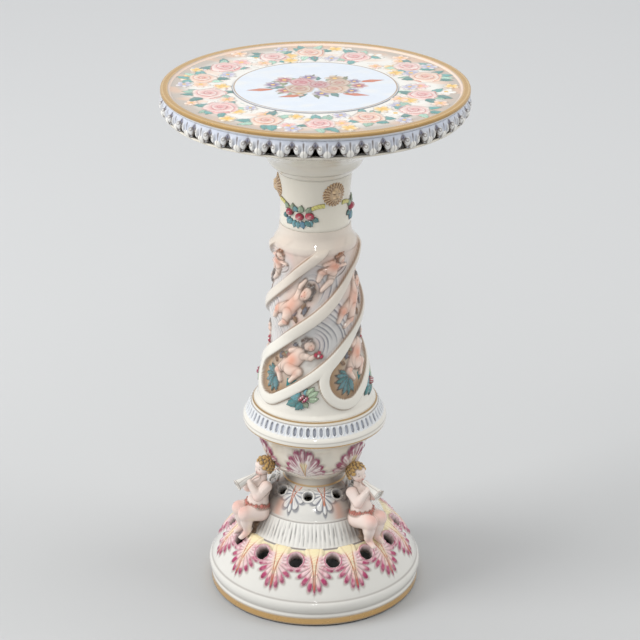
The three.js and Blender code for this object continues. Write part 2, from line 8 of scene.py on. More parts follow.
import bpy
import mathutils
import numpy as np
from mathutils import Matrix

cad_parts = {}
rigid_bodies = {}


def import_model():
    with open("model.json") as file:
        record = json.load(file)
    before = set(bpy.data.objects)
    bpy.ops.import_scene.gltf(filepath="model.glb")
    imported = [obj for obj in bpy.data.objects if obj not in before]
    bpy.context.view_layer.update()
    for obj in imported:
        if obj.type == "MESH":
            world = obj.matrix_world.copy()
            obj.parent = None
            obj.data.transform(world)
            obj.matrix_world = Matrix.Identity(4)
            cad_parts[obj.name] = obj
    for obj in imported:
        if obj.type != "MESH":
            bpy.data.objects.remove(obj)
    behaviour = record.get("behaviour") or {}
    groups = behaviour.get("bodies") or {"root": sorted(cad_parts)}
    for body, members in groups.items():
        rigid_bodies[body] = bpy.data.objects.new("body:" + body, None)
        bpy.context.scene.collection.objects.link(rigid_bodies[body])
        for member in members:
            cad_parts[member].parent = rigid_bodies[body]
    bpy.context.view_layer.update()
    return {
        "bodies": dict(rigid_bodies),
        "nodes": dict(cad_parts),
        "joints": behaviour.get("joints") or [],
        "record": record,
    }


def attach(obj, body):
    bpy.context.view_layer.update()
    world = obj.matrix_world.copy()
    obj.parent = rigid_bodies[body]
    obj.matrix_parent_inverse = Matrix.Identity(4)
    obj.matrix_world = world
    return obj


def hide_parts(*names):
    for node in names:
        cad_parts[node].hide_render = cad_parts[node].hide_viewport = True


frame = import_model()


# Tie rod and fittings: a plain steel rod with its nut, washers and brass flange clamps the
# castings together from inside. They keep the solids' own meshes and get a machined finish.
class Wire:
    """An output of a material's node. Sums on it add Math nodes."""

    def __init__(self, finish, socket):
        self.finish = finish
        self.socket = socket

    def _sum(self, operation, first, second):
        """Adds a Math node."""
        return self.finish.node("ShaderNodeMath", {"operation": operation}, {0: first, 1: second})

    def __add__(self, other):
        return self._sum("ADD", self, other)

    def __sub__(self, other):
        return self._sum("SUBTRACT", self, other)

    def __rsub__(self, other):
        return self._sum("SUBTRACT", other, self)

    def __mul__(self, other):
        return self._sum("MULTIPLY", self, other)

    __radd__ = __add__
    __rmul__ = __mul__


class Finish:
    """One node material, made round a Principled shader."""

    def __init__(self, name):
        self.material = bpy.data.materials.new(name)
        self.material.use_nodes = True
        self.tree = self.material.node_tree
        self.shader = self.tree.nodes["Principled BSDF"]

    def join(self, value, socket):
        """Wires or sets a socket."""
        if isinstance(value, Wire):
            self.tree.links.new(value.socket, socket)
        else:
            socket.default_value = value

    def node(self, kind, settings=None, inputs=None, output=0):
        """Adds a node, with its settings first, then the values or wires of its sockets."""
        node = self.tree.nodes.new(kind)
        for key, value in (settings or {}).items():
            setattr(node, key, value)
        for key, value in (inputs or {}).items():
            self.join(value, node.inputs[key])
        return Wire(self, node.outputs[output])

    def noise(self, scale, detail=2.0):
        """Noise on Object coordinates, about 0.5 in the mean, scale in cells to the metre."""
        place = self.node("ShaderNodeTexCoord", output="Object")
        sockets = {"Vector": place, "Scale": scale, "Detail": detail}
        return self.node("ShaderNodeTexNoise", None, sockets)

    def blend(self, factor, first, second, mode="MIX"):
        """Mixes two colours."""
        settings = {"data_type": "RGBA", "blend_type": mode}
        return self.node("ShaderNodeMix", settings, {0: factor, 6: first, 7: second}, 2)

    def surface(self, **inputs):
        """Sets the shader's sockets, with _ for a space in their names."""
        for key, value in inputs.items():
            self.join(value, self.shader.inputs[key.replace("_", " ")])

    def bump(self, height, depth):
        """Bumps the surface by a height of 0 to 1, of that depth in metres."""
        sockets = {"Height": height, "Distance": depth, "Strength": 1.0}
        self.surface(Normal=self.node("ShaderNodeBump", None, sockets))


def machined(name, colour, roughness, metallic=1.0, grain=900.0):
    """A plain turned or moulded finish: fine grain in its colour, gloss and surface."""
    finish = Finish(name)
    grit = finish.noise(grain, 3.0)
    cloud = finish.noise(40.0)
    shade = tuple(0.72 * part for part in colour[:3]) + (1,)
    base = finish.blend(cloud * 0.6 + grit * 0.4, shade, colour)
    finish.surface(Base_Color=base, Metallic=metallic, Roughness=grit * 0.2 + (roughness - 0.1))
    finish.bump(grit, 0.0001)
    return finish.material


def dress_node(node, material):
    """Gives a solid that is kept its material, on the slots that its mesh has."""
    for slot in frame["nodes"][node].material_slots:
        slot.material = material


STEEL = machined("plain_steel", (0.42, 0.43, 0.44, 1), 0.34)
dress_node("tie_rod", STEEL)
dress_node("tie_nut", STEEL)
dress_node("steel_washer", STEEL)
dress_node("threaded_flange", machined("turned_brass", (0.5, 0.34, 0.1, 1), 0.32))
dress_node("rubber_washer", machined("black_rubber", (0.025, 0.025, 0.026, 1), 0.8, 0.0))
dress_node("felt_ring", machined("dark_felt", (0.055, 0.05, 0.045, 1), 0.92, 0.0, 2500.0))


# Base: a slip-cast plinth, bead and dome in one piece, with 14 acanthus leaves modelled between
# 14 round holes. Cream glaze, pink and magenta leaves, and a gilded band round the plinth.
MM = 0.001
ROD_HOLE = 5.5


def rgb(*parts):
    """A colour in linear light."""
    return np.array(parts)


CREAM = rgb(0.78, 0.735, 0.64)
MILK = rgb(0.82, 0.805, 0.76)
BONE = MILK * 0.88
INK = rgb(0.10, 0.065, 0.05)
GOLD = rgb(0.72, 0.46, 0.19)
BISQUE = rgb(0.50, 0.47, 0.42)
MAGENTA = rgb(0.42, 0.035, 0.13)
PINK = rgb(0.80, 0.46, 0.42)
ORANGE = rgb(0.72, 0.33, 0.07)
PALE_ROSE = rgb(0.82, 0.64, 0.65)
PALE_YELLOW = rgb(0.88, 0.78, 0.48)
RED_EARTH = rgb(0.55, 0.12, 0.035)
SHADE = rgb(0.33, 0.27, 0.23)


def polar(radius, turn, level):
    """Points at a radius and level, turned from the front: x = r sin a, y = -r cos a, in metres."""
    angle = np.radians(turn)
    radius, level = np.broadcast_arrays(radius + 0 * angle, level + 0 * angle)
    return MM * np.stack([radius * np.sin(angle), -radius * np.cos(angle), level], -1)


def section(step, *runs):
    """Points about step apart along runs of (radius, level). A run of three or more is a
    Catmull-Rom curve through them, and runs meet at a corner."""
    parts = []
    for run in runs:
        knots = np.array(run, float)
        if len(knots) > 2:
            ends = 2 * knots[:1] - knots[1:2], 2 * knots[-1:] - knots[-2:-1]
            whole = np.vstack([ends[0], knots, ends[1]])
            a, b, c, d = whole[:-3], whole[1:-2], whole[2:-1], whole[3:]
            t = np.linspace(0, 1, 24, endpoint=False)[:, None, None]
            curve = b + 0.5 * t * (c - a + t * (2 * a - 5 * b + 4 * c - d + t * (3 * (b - c) + d - a)))
            knots = np.vstack([curve.transpose(1, 0, 2).reshape(-1, 2), knots[-1:]])
        reach = np.r_[0, np.cumsum(np.linalg.norm(np.diff(knots, axis=0), axis=1))]
        at = np.linspace(0, reach[-1], max(int(round(reach[-1] / step)), 1) + 1)
        part = np.column_stack([np.interp(at, reach, knots[:, k]) for k in (0, 1)])
        parts.append(part[1:] if parts else part)
    return np.vstack(parts)


def grid_faces(rows, columns, wrap_rows=False, wrap_columns=True):
    """Quads of a grid of points numbered row by row, as (rows, columns, 4) indices."""
    i = np.arange(rows if wrap_rows else rows - 1)[:, None]
    j = np.arange(columns if wrap_columns else columns - 1)[None, :]
    up, right = (i + 1) % rows, (j + 1) % columns
    corners = i * columns + j, i * columns + right, up * columns + right, up * columns + j
    return np.stack(np.broadcast_arrays(*corners), -1)


def new_piece(name, points, faces, colour, gilt, material, nodes, slot):
    """Makes one mesh piece from points and lists of quads or triangles, with its painting."""
    mesh = bpy.data.meshes.new(name)
    mesh.vertices.add(len(points))
    mesh.vertices.foreach_set("co", np.ascontiguousarray(points, np.float32).ravel())
    corners = np.concatenate([part.ravel() for part in faces])
    sizes = np.concatenate([np.full(len(part), part.shape[1]) for part in faces])
    mesh.loops.add(len(corners))
    mesh.loops.foreach_set("vertex_index", corners.astype(np.int32))
    mesh.polygons.add(len(sizes))
    mesh.polygons.foreach_set("loop_start", (np.cumsum(sizes) - sizes).astype(np.int32))
    mesh.polygons.foreach_set("use_smooth", np.ones(len(sizes), bool))
    mesh.update(calc_edges=True)
    tint = np.c_[colour, np.ones(len(points))]
    mesh.attributes.new("paint", "FLOAT_COLOR", "POINT").data.foreach_set("color", tint.ravel())
    mesh.attributes.new("gilt", "FLOAT", "POINT").data.foreach_set("value", gilt)
    mesh.materials.append(material)
    obj = bpy.data.objects.new(name, mesh)
    bpy.context.scene.collection.objects.link(obj)
    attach(obj, "root")
    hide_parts(*nodes)
    return obj


def clamp(value):
    """The value, kept between 0 and 1."""
    return np.clip(value, 0, 1)


def stain(paint, mask, tint):
    """Paints a tint over an array of colours, as far as the mask says."""
    paint += clamp(mask)[..., None] * (tint - paint)


def hump(distance, width):
    """A soft hump: 1 at a distance of zero, 1/e at the width."""
    return np.exp(-((distance / width) ** 2))


def soft(value, edge=0.7):
    """0 below, 1 above zero, with a soft edge of that width in mm."""
    return clamp(value / edge + 0.5)


def drawn(distance, width, edge=0.7):
    """1 on a line drawn with a brush of that width, by the distance from its middle."""
    return soft(width / 2 - np.abs(distance), edge)


def nearest(turn, count, first=0.0):
    """The angle from the nearest of several evenly spaced spots."""
    step = 360 / count
    return (turn - first + step / 2) % step - step / 2


def blurred(values, reach):
    """A running mean over a square of 2 reach + 1 points. Columns wrap, rows stop at the ends."""
    for axis in (0, 1):
        mode = "edge" if axis == 0 else "wrap"
        width = [(reach, reach) if k == axis else (0, 0) for k in (0, 1)]
        total = np.cumsum(np.pad(values, width, mode), axis=axis)
        total = np.insert(total, 0, 0, axis=axis)
        span = 2 * reach + 1
        upper = np.take(total, np.arange(span, total.shape[axis]), axis=axis)
        lower = np.take(total, np.arange(total.shape[axis] - span), axis=axis)
        values = (upper - lower) / span
    return values


class Casting:
    """A casting turned about the axis, as a grid of points with its relief and its painting.

    Rows follow the section from its foot outside to its top, and columns go round it. Each point
    lies on the section, moved out by its height in mm along the section's own normal."""

    def __init__(self, outline, columns, ground):
        self.outline = outline
        self.run = np.r_[0, np.cumsum(np.linalg.norm(np.diff(outline, axis=0), axis=1))]
        slope = np.gradient(outline, self.run, axis=0)
        slope /= np.linalg.norm(slope, axis=1, keepdims=True)
        self.normal = np.column_stack([slope[:, 1], -slope[:, 0]])
        shape = (len(outline), columns)
        self.along = np.repeat(self.run[:, None], columns, 1)
        self.turn = np.tile(np.arange(columns) * 360 / columns - 180, (len(outline), 1))
        self.radius = np.repeat(outline[:, :1], columns, 1)
        self.level = np.repeat(outline[:, 1:], columns, 1)
        self.height = np.zeros(shape)
        self.colour = np.ones(shape + (1,)) * ground
        self.gilt = np.zeros(shape)
        self.open = np.zeros((shape[0] - 1, columns), bool)
        self.slant = np.zeros(shape)

    def stain(self, mask, colour):
        """Paints a colour over what is there, as far as the mask says."""
        stain(self.colour, mask, colour)

    def gild(self, mask, colour=GOLD):
        """Lays gold over what is there."""
        self.stain(mask, colour)
        self.gilt = np.maximum(self.gilt, clamp(mask))

    def pool(self, colour, reach=2, strength=1.0):
        """Painted shade in the hollows of the relief, darker the deeper they lie."""
        hollow = blurred(self.height, reach) - self.height
        self.stain(np.clip(hollow * strength, 0, 0.85), colour)

    def mould(self, far, size, crown, colour, ground=0.0, ink=0.6):
        """Lays one rounded form over the relief. far is the distance from its middle line, size
        its half width there, and crown how far it stands above the ground round it. It is given
        painted shade: a soft dark halo round it and darker edges inside it. The outline swells and
        thins along the piece, as a brush line does. ink sets the strength of the outline and halo."""
        share = clamp(1 - (far / size) ** 2)
        rise = ground + crown * np.sqrt(share)
        self.height = np.where(far < size, np.maximum(self.height, rise), self.height)
        self.stain(hump(far - size, 2.0) * (far > size) * ink * 0.6, SHADE)
        inside = soft(size - far, 0.9)
        self.stain(inside, colour)
        self.stain(inside * (1 - share) ** 2 * 0.35, colour * rgb(0.55, 0.38, 0.32))
        sweep = 0.5 + 0.5 * np.sin(self.turn / 7 + self.level / 4)
        self.stain(drawn(far - size, 0.5 + 0.9 * sweep) * ink * (0.35 + 0.65 * sweep), INK)

    def lay_leaf(self, frame, reach, half_width, colour, crown=2.0, ground=0.0, teeth=4, ink=0.7):
        """Lays a pointed leaf from its root along the frame's first coordinate, with an inked
        edge, a midrib and side veins."""
        ahead, across = frame
        depth = blade(across, ahead, reach, half_width, teeth)
        inside = soft(depth, 0.9)
        rise = ground + crown * (0.35 + 0.65 * clamp(depth / half_width) ** 0.5)
        self.height = np.where(depth > 0, np.maximum(self.height, rise), self.height)
        self.stain(inside, colour)
        glow = clamp(depth / half_width) * clamp(ahead / reach)
        self.stain(inside * glow * 0.5, colour * 0.4 + MILK * 0.6)
        self.stain(inside * drawn(across, 0.7) * 0.5, INK)
        veins = (ahead - 0.9 * np.abs(across)) % (reach / 5) - reach / 10
        self.stain(inside * drawn(veins, 0.5) * 0.28, INK)
        self.stain(drawn(depth, 0.9) * ink, INK)

    def pierce(self, count, first, along, size, slant):
        """Opens evenly spaced round holes: the points next to each circle move onto it. Their
        inner ends lie lower along the section by the slant, as the tool was pushed down."""
        scale = np.radians(1) * np.interp(along, self.run, self.outline[:, 0])
        across = nearest(self.turn, count, first) * scale
        up = self.along - along
        far = np.maximum(np.hypot(across, up), 1e-6)
        mid = (far[:-1] + far[1:]) / 2
        inside = (mid + np.roll(mid, -1, 1)) / 2 < size
        self.open |= inside
        around = np.pad(inside, ((1, 1), (0, 0)))
        around = np.stack([around[:-1], around[1:]])
        around = np.concatenate([around, np.roll(around, 1, 2)])
        rim = around.any(0) & ~around.all(0)
        grow = np.where(rim, size / far - 1, 0)
        self.turn = self.turn + across * grow / scale
        self.along = self.along + up * grow
        self.slant = np.maximum(self.slant, slant * soft(size + 5 - far, 8))

    def points(self, lift, slide=0.0):
        """The grid's points, moved by slide in mm down along the section, then by lift along its
        normal."""
        along = self.along - slide
        at = [np.interp(along, self.run, part) for part in (*self.outline.T, *self.normal.T)]
        return polar(at[0] + lift * at[2], self.turn, at[1] + lift * at[3])

    def cast(self, name, nodes, slot, material, web=(), wall=None, step=1):
        """Makes the piece. The section is closed by the web's (radius, level) points and, with a
        wall, by a lining of every step-th row inside it and all the rows by the holes. Open cells
        get a rim through the wall."""
        rows, columns = self.height.shape
        parts = [self.points(self.height)]
        parts += [polar(radius, self.turn[:1], level) for radius, level in web]
        if wall:
            pierced = np.flatnonzero(self.open.any(1))
            kept = np.r_[np.arange(0, rows, step), pierced, pierced + 1, rows - 1]
            kept = np.unique(kept)[::-1]
            parts.append(self.points(-wall, self.slant)[kept])
        points = np.concatenate(parts)
        faces = grid_faces(len(points), columns, wrap_rows=True)
        hidden = np.zeros(faces.shape[:2], bool)
        hidden[: rows - 1] = self.open
        lists = []
        if self.open.any():
            start = len(points) - len(kept)
            hidden[start : len(points) - 1] = self.open[kept[1:]]
            place = np.zeros(rows, int)
            place[kept] = start + np.arange(len(kept))
            lists.append(self._rims(place, columns))
        lists.insert(0, faces[~hidden])
        plain = np.ones((len(points) - rows, columns, 1)) * BISQUE
        colour = np.concatenate([self.colour, plain])
        gilt = np.concatenate([self.gilt, np.zeros(plain.shape[:2])])
        flat = points.reshape(-1, 3), lists, colour.reshape(-1, 3), gilt.ravel()
        return new_piece(name, *flat, material, nodes, slot)

    def _rims(self, place, columns):
        """Quads through the wall, from each edge of an open cell whose neighbour is closed. place
        gives the row of the lining behind each row."""
        i, j = np.indices(self.open.shape)
        right = (j + 1) % columns
        sides = (
            ((i, j), (i, right), np.pad(self.open, ((1, 0), (0, 0)))[:-1]),
            ((i, right), (i + 1, right), np.roll(self.open, -1, 1)),
            ((i + 1, right), (i + 1, j), np.pad(self.open, ((0, 1), (0, 0)))[1:]),
            ((i + 1, j), (i, j), np.roll(self.open, 1, 1)),
        )
        quads = []
        for (ai, aj), (bi, bj), neighbour in sides:
            edge = self.open & ~neighbour
            outer = ai * columns + aj, bi * columns + bj
            inner = place[bi] * columns + bj, place[ai] * columns + aj
            quads.append(np.stack([part[edge] for part in (*outer, *inner)], -1))
        return np.concatenate(quads)


def glazed(name, gloss=0.1):
    """Painted glaze: the piece's own paint under a clear coat, a little uneven, and gold where
    the piece is gilded."""
    finish = Finish(name)
    paint = finish.node("ShaderNodeAttribute", {"attribute_name": "paint"}, output="Color")
    gilt = finish.node("ShaderNodeAttribute", {"attribute_name": "gilt"}, output="Fac")
    cloud = finish.noise(22.0, 3.0)
    wave = finish.noise(170.0, 2.0)
    wear = finish.noise(90.0, 3.0)
    tone = finish.blend(cloud * 0.30, paint, (0.95, 0.92, 0.86, 1), "MULTIPLY")
    tone = finish.blend((wear - 0.35) * gilt * 0.25, tone, (0.40, 0.22, 0.06, 1))
    finish.surface(
        Base_Color=tone,
        Roughness=cloud * 0.1 + gilt * 0.16 + (gloss - 0.04),
        Metallic=gilt * 0.6,
        Coat_Weight=0.6 - gilt * 0.3,
        Coat_Roughness=0.05,
    )
    finish.bump((wave * 0.6 + cloud * 0.9) * (1 - gilt * 0.85), 0.00025)
    return finish.material


def uneven(body, seed, cell):
    """A smooth random field on a casting, mostly within -1 and 1: the sum of nine sine waves in
    random directions in space, each about cell mm long."""
    dice = np.random.default_rng(seed)
    ways = dice.normal(size=(3, 9))
    ways /= np.linalg.norm(ways, axis=0) * cell * dice.uniform(0.7, 1.5, 9)
    spots = polar(body.radius, body.turn, body.level) / MM
    return np.sin(2 * np.pi * (spots @ ways + dice.uniform(0, 1, 9))).sum(-1) / 3.2


def leaf(across, ahead, reach, half_width, lobes, limit, notch):
    """A leaf with rounded lobes, drawn round its root in mm. Its edge is an ellipse, reach long
    ahead and half_width to the side, cut in by |cos| notches between the lobes, and it stops at
    the limit angle. The lobes leave the midrib in bows, by across to the power of 0.72. Gives
    the share from the edge (0) to the root (1), the lobe's crown, 0 in a notch and 1 along a
    lobe's middle, and the same for three strokes to each lobe."""
    bow = np.sign(across) * half_width * np.abs(across / half_width) ** 0.72
    bend = np.arctan2(bow, ahead)
    angle = np.degrees(bend)
    far = np.hypot(bow, ahead)
    ellipse = 1 / np.sqrt((np.cos(bend) / reach) ** 2 + (np.sin(bend) / half_width) ** 2)
    wave = np.pi * angle * lobes / (2 * limit)
    crown, stroke = np.abs(np.cos(wave)), np.abs(np.cos(3 * wave))
    edge = ellipse * (1 - notch * (1 - crown**0.7)) * soft(limit - np.abs(angle), 8)
    return 1 - far / np.maximum(edge, 0.5), crown, stroke


def aimed(x, y, place, angle):
    """Coordinates round a place: ahead along an angle in degrees from x, and across to its left."""
    bend = np.radians(angle)
    dx, dy = x - place[0], y - place[1]
    return dx * np.cos(bend) + dy * np.sin(bend), dy * np.cos(bend) - dx * np.sin(bend)


def blade(across, ahead, reach, half_width, teeth):
    """How far inside a pointed leaf's edge a point is, in mm. Its half width is a sine of the way
    from root to tip, nicked by teeth."""
    way = clamp(ahead / reach)
    width = half_width * np.sin(np.pi * way**0.8) * (1 - 0.2 * np.abs(np.sin(np.pi * teeth * way)))
    past = np.minimum(ahead, reach - ahead)
    return np.where(past > 0, width - np.abs(across), -np.hypot(across, past))


LEAVES = 14
plinth_section = section(
    2.4,
    [(149.6, 1.5), (151, 3)],
    [(151, 3), (151.3, 18.6)],
    [(151.3, 18.6), (150.3, 20.2), (151.4, 22.4), (153.2, 26), (154, 31), (152.8, 36), (150, 39)],
    [(150, 39), (148.6, 40.6)],
)
dome_section = section(
    1.12, [(148.6, 40.6), (146.5, 45), (140.6, 55), (133, 67), (124, 78.5), (114, 88.5), (105, 95.9)]
)
base = Casting(np.vstack([plinth_section, dome_section[1:]]), LEAVES * 54, BONE)


def base_leaves(body):
    """Models and paints the acanthus leaves from the dome's top down to its foot: pink fingers
    with magenta strokes, and a red V-shaped vein on pale yellow."""
    down = body.run[-1] - body.along
    across = np.radians(nearest(body.turn, LEAVES)) * body.radius
    share, crown, stroke = leaf(across, down - 20, 43, 29, 15, 130, 0.3)
    hand = 0.5 + 0.5 * np.clip(uneven(body, 3, 11), -1, 1)
    neck = soft(12.5 - np.abs(across) - 0.1 * down, 3) * soft(24 - down, 4)
    blade_in = soft(share * 34, 1.6)
    inside = np.maximum(blade_in, neck)
    dish = clamp(share) ** 0.4 * (0.5 + 0.5 * crown**0.8)
    lip = hump(share - 0.1, 0.09) * (share > -0.05)
    body.height += 3.8 * np.maximum(dish * blade_in, 0.7 * neck) + 0.8 * lip * crown
    body.height += 0.35 * (stroke - 0.5) * blade_in * soft((0.7 - share) * 30, 4)
    # Painted shadow on the ground just outside the leaf's edge.
    body.stain(hump(share + 0.03, 0.06) * (share < 0.02) * 0.55, SHADE)
    body.stain(inside, PALE_ROSE)
    core = clamp(1.2 - np.abs(across) / 7) * soft(46 - down, 16)
    body.stain(inside * core * 0.75, PALE_YELLOW)
    # Painted highlight just inside the leaf's edge.
    body.stain(inside * hump(share - 0.05, 0.05) * 0.5, MILK)
    fine = soft(stroke - 0.72, 0.3) * soft((share - 0.1) * 40, 3) * soft((0.66 - share) * 40, 9)
    body.stain(inside * fine * (0.25 + 0.65 * hand), PINK * (0.9, 0.7, 0.85))
    # Painted shade in the notches between the fingers.
    gap = soft(0.3 - crown, 0.3) * soft((share - 0.02) * 40, 3) * soft((0.5 - share) * 40, 6)
    body.stain(inside * gap * 0.6, SHADE)
    tips = soft(crown - 0.45, 0.5) * soft((0.2 + 0.2 * hand - share) * 40, 5) * soft(share * 40, 2)
    body.stain(inside * tips * (0.7 + 0.3 * hand), MAGENTA)
    body.stain(inside * tips * drawn(share * 40 - 3.5, 2.4) * 0.6, MAGENTA * 0.45)
    spread = 7.0 * np.exp(-((down / 21) ** 1.3)) + 0.3
    vein = drawn(np.abs(across) - spread, 1.5) * soft(56 - down, 4)
    body.stain(vein * (0.8 + 0.2 * hand), RED_EARTH)
    body.height -= 0.5 * vein
    rungs = drawn((down + 0.4 * across) % 4.2 - 2, 0.9) * soft(spread - np.abs(across)) * soft(22 - down, 3)
    body.stain(rungs * 0.5, ORANGE)


def ring_line(body, level, width, colour, strength=0.9):
    """A thin line painted round the piece at a level."""
    body.stain(drawn(body.level - level, width) * strength, colour)


base.stain(soft(21 - base.level), MILK)
base_leaves(base)
BASE_HOLE = 10.3
HOLE_RADIUS = 116
HOLE_ALONG = base.run[-1] - 15.5
base.pierce(LEAVES, 180 / LEAVES, HOLE_ALONG, BASE_HOLE, 5.0)
hole_turn = np.radians(nearest(base.turn, LEAVES, 180 / LEAVES))
beyond_hole = np.hypot(hole_turn * HOLE_RADIUS, base.along - HOLE_ALONG) - BASE_HOLE
base.height += 1.6 * hump(beyond_hole - 1.3, 1.7)
base.stain(soft(3.3 - beyond_hole, 2) * 0.8, PALE_ROSE)
base.stain(drawn(beyond_hole - 1.6, 1.7) * (0.75 + 0.2 * uneven(base, 5, 25)), MAGENTA)
base.stain(soft(base.level - 90.5, 4) * soft(beyond_hole - 2.2, 2) * 0.85, PALE_YELLOW)
base.gild(drawn(base.level - 8.6, 10.4, 1.4))
# Painted shadow: a dark line round the foot where it meets the floor.
ring_line(base, 2.4, 1.6, INK, 0.9)
ring_line(base, 14.6, 1.0, INK, 0.6)
ring_line(base, 20.4, 1.4, INK, 0.45)
ring_line(base, 39.6, 1.4, INK, 0.75)
# Painted shade in the hollows of the relief.
base.pool(SHADE, 2, 0.4)
GLAZE = glazed("painted_glaze")
base.cast("painted_base", ["pierced_base"], "glaze", GLAZE, [(ROD_HOLE, 95.9), (ROD_HOLE, 86)], 10, 8)


# Foot cap: a fluted skirt under a small pierced dome, cast in one piece and glazed. Nine
# silvery leaves hang between nine holes, and the flutes are touched in with grey strokes.
SILVER = rgb(0.60, 0.62, 0.68)
SLATE = rgb(0.13, 0.14, 0.18)
RUST = rgb(0.58, 0.16, 0.05)
SALMON = rgb(0.80, 0.44, 0.32)
UMBER = rgb(0.23, 0.12, 0.05)
ASH = rgb(0.33, 0.31, 0.28)
CHERUB_TURNS = (-64, 48, 172)
FLUTES = 96
CAP_LEAVES = 9
CAP_HOLE = 6.3
CAP_HOLE_RADIUS = 60
CAP_HOLE_TURN = -8.5
cap_section = section(
    1.05,
    [(104, 96), (101.6, 98.2), (98, 104.6), (92, 114.5), (86, 124.5), (83, 129.2)],
    [(83, 129.2), (80.5, 129.8)],
    [(80.5, 129.8), (78.6, 134), (75.5, 140.5), (70, 148), (63, 155.6), (54, 162), (46.5, 165.9)],
)
cap = Casting(cap_section, CAP_LEAVES * 68, BONE)


def cap_flutes(body):
    """Narrow upright flutes on the skirt, deepest at mid height. Grey strokes, each of its
    own place, length and strength, lie in and between them."""
    rise = clamp((body.level - 97) / 31)
    swell = np.sin(np.pi * rise) ** 0.5 * (body.level < 128.5)
    body.height += 0.45 * np.cos(np.radians(body.turn) * FLUTES) * swell
    body.stain(soft(body.level - 98) * (body.level < 128), MILK)
    dice = np.random.default_rng(11)
    least, most = (0.05, 0.12, 0.1, -1.6), (0.75, 0.5, 1.0, 1.6)
    slot = ((body.turn + 180) / 360 * FLUTES).astype(int) % FLUTES
    for _ in range(3):
        low, length, weight, aside = (dice.uniform(*ends, FLUTES)[slot] for ends in zip(least, most))
        across = nearest(body.turn, FLUTES, 180 / FLUTES) * np.radians(body.radius) - aside
        stroke = drawn(across, 1.1, 0.9) * soft((rise - low) * 30, 3)
        stroke *= soft((low + length - rise) * 30, 6) * (body.level < 127)
        body.stain(stroke * weight, ASH * 0.5)


def cap_leaves(body):
    """Nine leaves that fan down from the spool: white bulging lobes outlined in slate, silver
    grey between them, and a red V-shaped vein."""
    down = body.run[-1] - body.along
    across = np.radians(nearest(body.turn, CAP_LEAVES, 11.5)) * body.radius
    share, crown, stroke = leaf(across, down - 13, 31, 20, 9, 125, 0.3)
    on_dome = body.level > 129.9
    inside = soft(share * 26, 1.6) * on_dome
    body.height += 3.6 * inside * clamp(share) ** 0.4 * (0.45 + 0.55 * crown**0.8)
    body.stain(hump(share + 0.05, 0.08) * on_dome * (down > 7) * 0.75, SLATE)
    body.stain(inside, MILK)
    body.stain(inside * clamp(1.1 - crown) * soft((share - 0.05) * 20, 4) * 0.8, SILVER)
    gap = soft(0.32 - crown, 0.3) * soft((0.72 - share) * 26, 6)
    body.stain(inside * gap * 0.85, SLATE)
    rim = drawn(share * 26 - 0.6, 1.1 + 1.4 * crown)
    body.stain(inside * rim * 0.9, SLATE * 0.7)
    streak = soft(stroke - 0.8, 0.25) * soft((share - 0.2) * 26, 4) * soft((0.6 - share) * 26, 6)
    body.stain(inside * streak * 0.35, SLATE)
    spread = 5.0 * np.exp(-((down / 14) ** 1.4)) + 0.3
    body.stain(drawn(np.abs(across) - spread, 1.6) * soft(30 - down, 3) * (down > 1) * 0.9, RUST)
    filled = soft(spread - np.abs(across)) * soft(17 - down, 3)
    body.stain(filled * drawn((down + across) % 3.4 - 1.7, 1.0) * 0.6, RUST)


def by_cherubs(body, away, width):
    """1 at that many degrees to either side of each cherub, falling off over the width."""
    off = np.min([np.abs((body.turn - turn + 180) % 360 - 180) for turn in CHERUB_TURNS], 0)
    return hump(off - away, width)


cap_flutes(cap)
cap_leaves(cap)
CAP_HOLE_ALONG = cap.run[-1] - 15.5
cap.pierce(CAP_LEAVES, CAP_HOLE_TURN, CAP_HOLE_ALONG, CAP_HOLE, 2.5)
cap_turn = np.radians(nearest(cap.turn, CAP_LEAVES, CAP_HOLE_TURN))
beyond_hole = np.hypot(cap_turn * CAP_HOLE_RADIUS, cap.along - CAP_HOLE_ALONG) - CAP_HOLE
cap.height += 1.9 * hump(beyond_hole - 1.6, 1.5)
cap.stain(soft(3.9 - beyond_hole, 1.5), MILK)
cap.stain(drawn(beyond_hole - 3.5, 1.0) * 0.7, SLATE)
cap.stain(drawn(beyond_hole - 0.4, 1.0) * 0.6, SLATE)
on_dome = soft(cap.level - 130.5)
cap.stain(on_dome * soft(151 - cap.level, 6) * by_cherubs(cap, 21, 6) * 0.75, SALMON)
# Painted shade on the skirt and dome behind each cherub.
cap.stain(by_cherubs(cap, 0, 19) * 0.95 * soft(cap.level - 100, 12), SHADE * 0.55)
ring_line(cap, 97, 1.5, INK, 0.75)
ring_line(cap, 128.6, 1.2, INK, 0.65)
# Painted shade in the hollows of the relief.
cap.pool(SLATE, 2, 0.5)
cap.cast("painted_foot_cap", ["foot_cap"], "glaze", GLAZE, [(ROD_HOLE, 165.9), (ROD_HOLE, 158)], 7.5, 8)


# Cherubs: three chubby seated children, each cast with its rock and painted in flesh pink, with
# golden curls and a rose loin cloth. They sit against the foot and blow small pale horns.
FLESH = rgb(0.84, 0.72, 0.66)
ROSE = rgb(0.56, 0.17, 0.14)
GILT_HAIR = rgb(0.50, 0.30, 0.09)
STONE = rgb(0.22, 0.15, 0.10)
CURL_HIGHLIGHT = rgb(0.74, 0.55, 0.24)
BLUSH_PINK = rgb(0.72, 0.27, 0.20)
UMBER_DARK = rgb(0.10, 0.07, 0.05)
SEAT_LEVEL = 96
BODY, HEAD, ARM, LEG, CLOTH, HAIR, ROCK = range(7)
TINTS = np.array([FLESH, FLESH, FLESH, FLESH, ROSE, GILT_HAIR, STONE])
CHERUB_BLUSHES = (
    ((118, 10, 40), 9, 0.6875), ((100, 17, 61), 6, 0.4375), ((89, 6, 92), 4, 0.5625),
    ((96, 7, 62), 5, 0.375), ((84, 12, 24), 10, 0.5625), ((96, 9, 30), 9, 0.4375),
    ((116, 10, 4), 7, 0.4375), ((84, 12, 76), 6, 0.375),
)


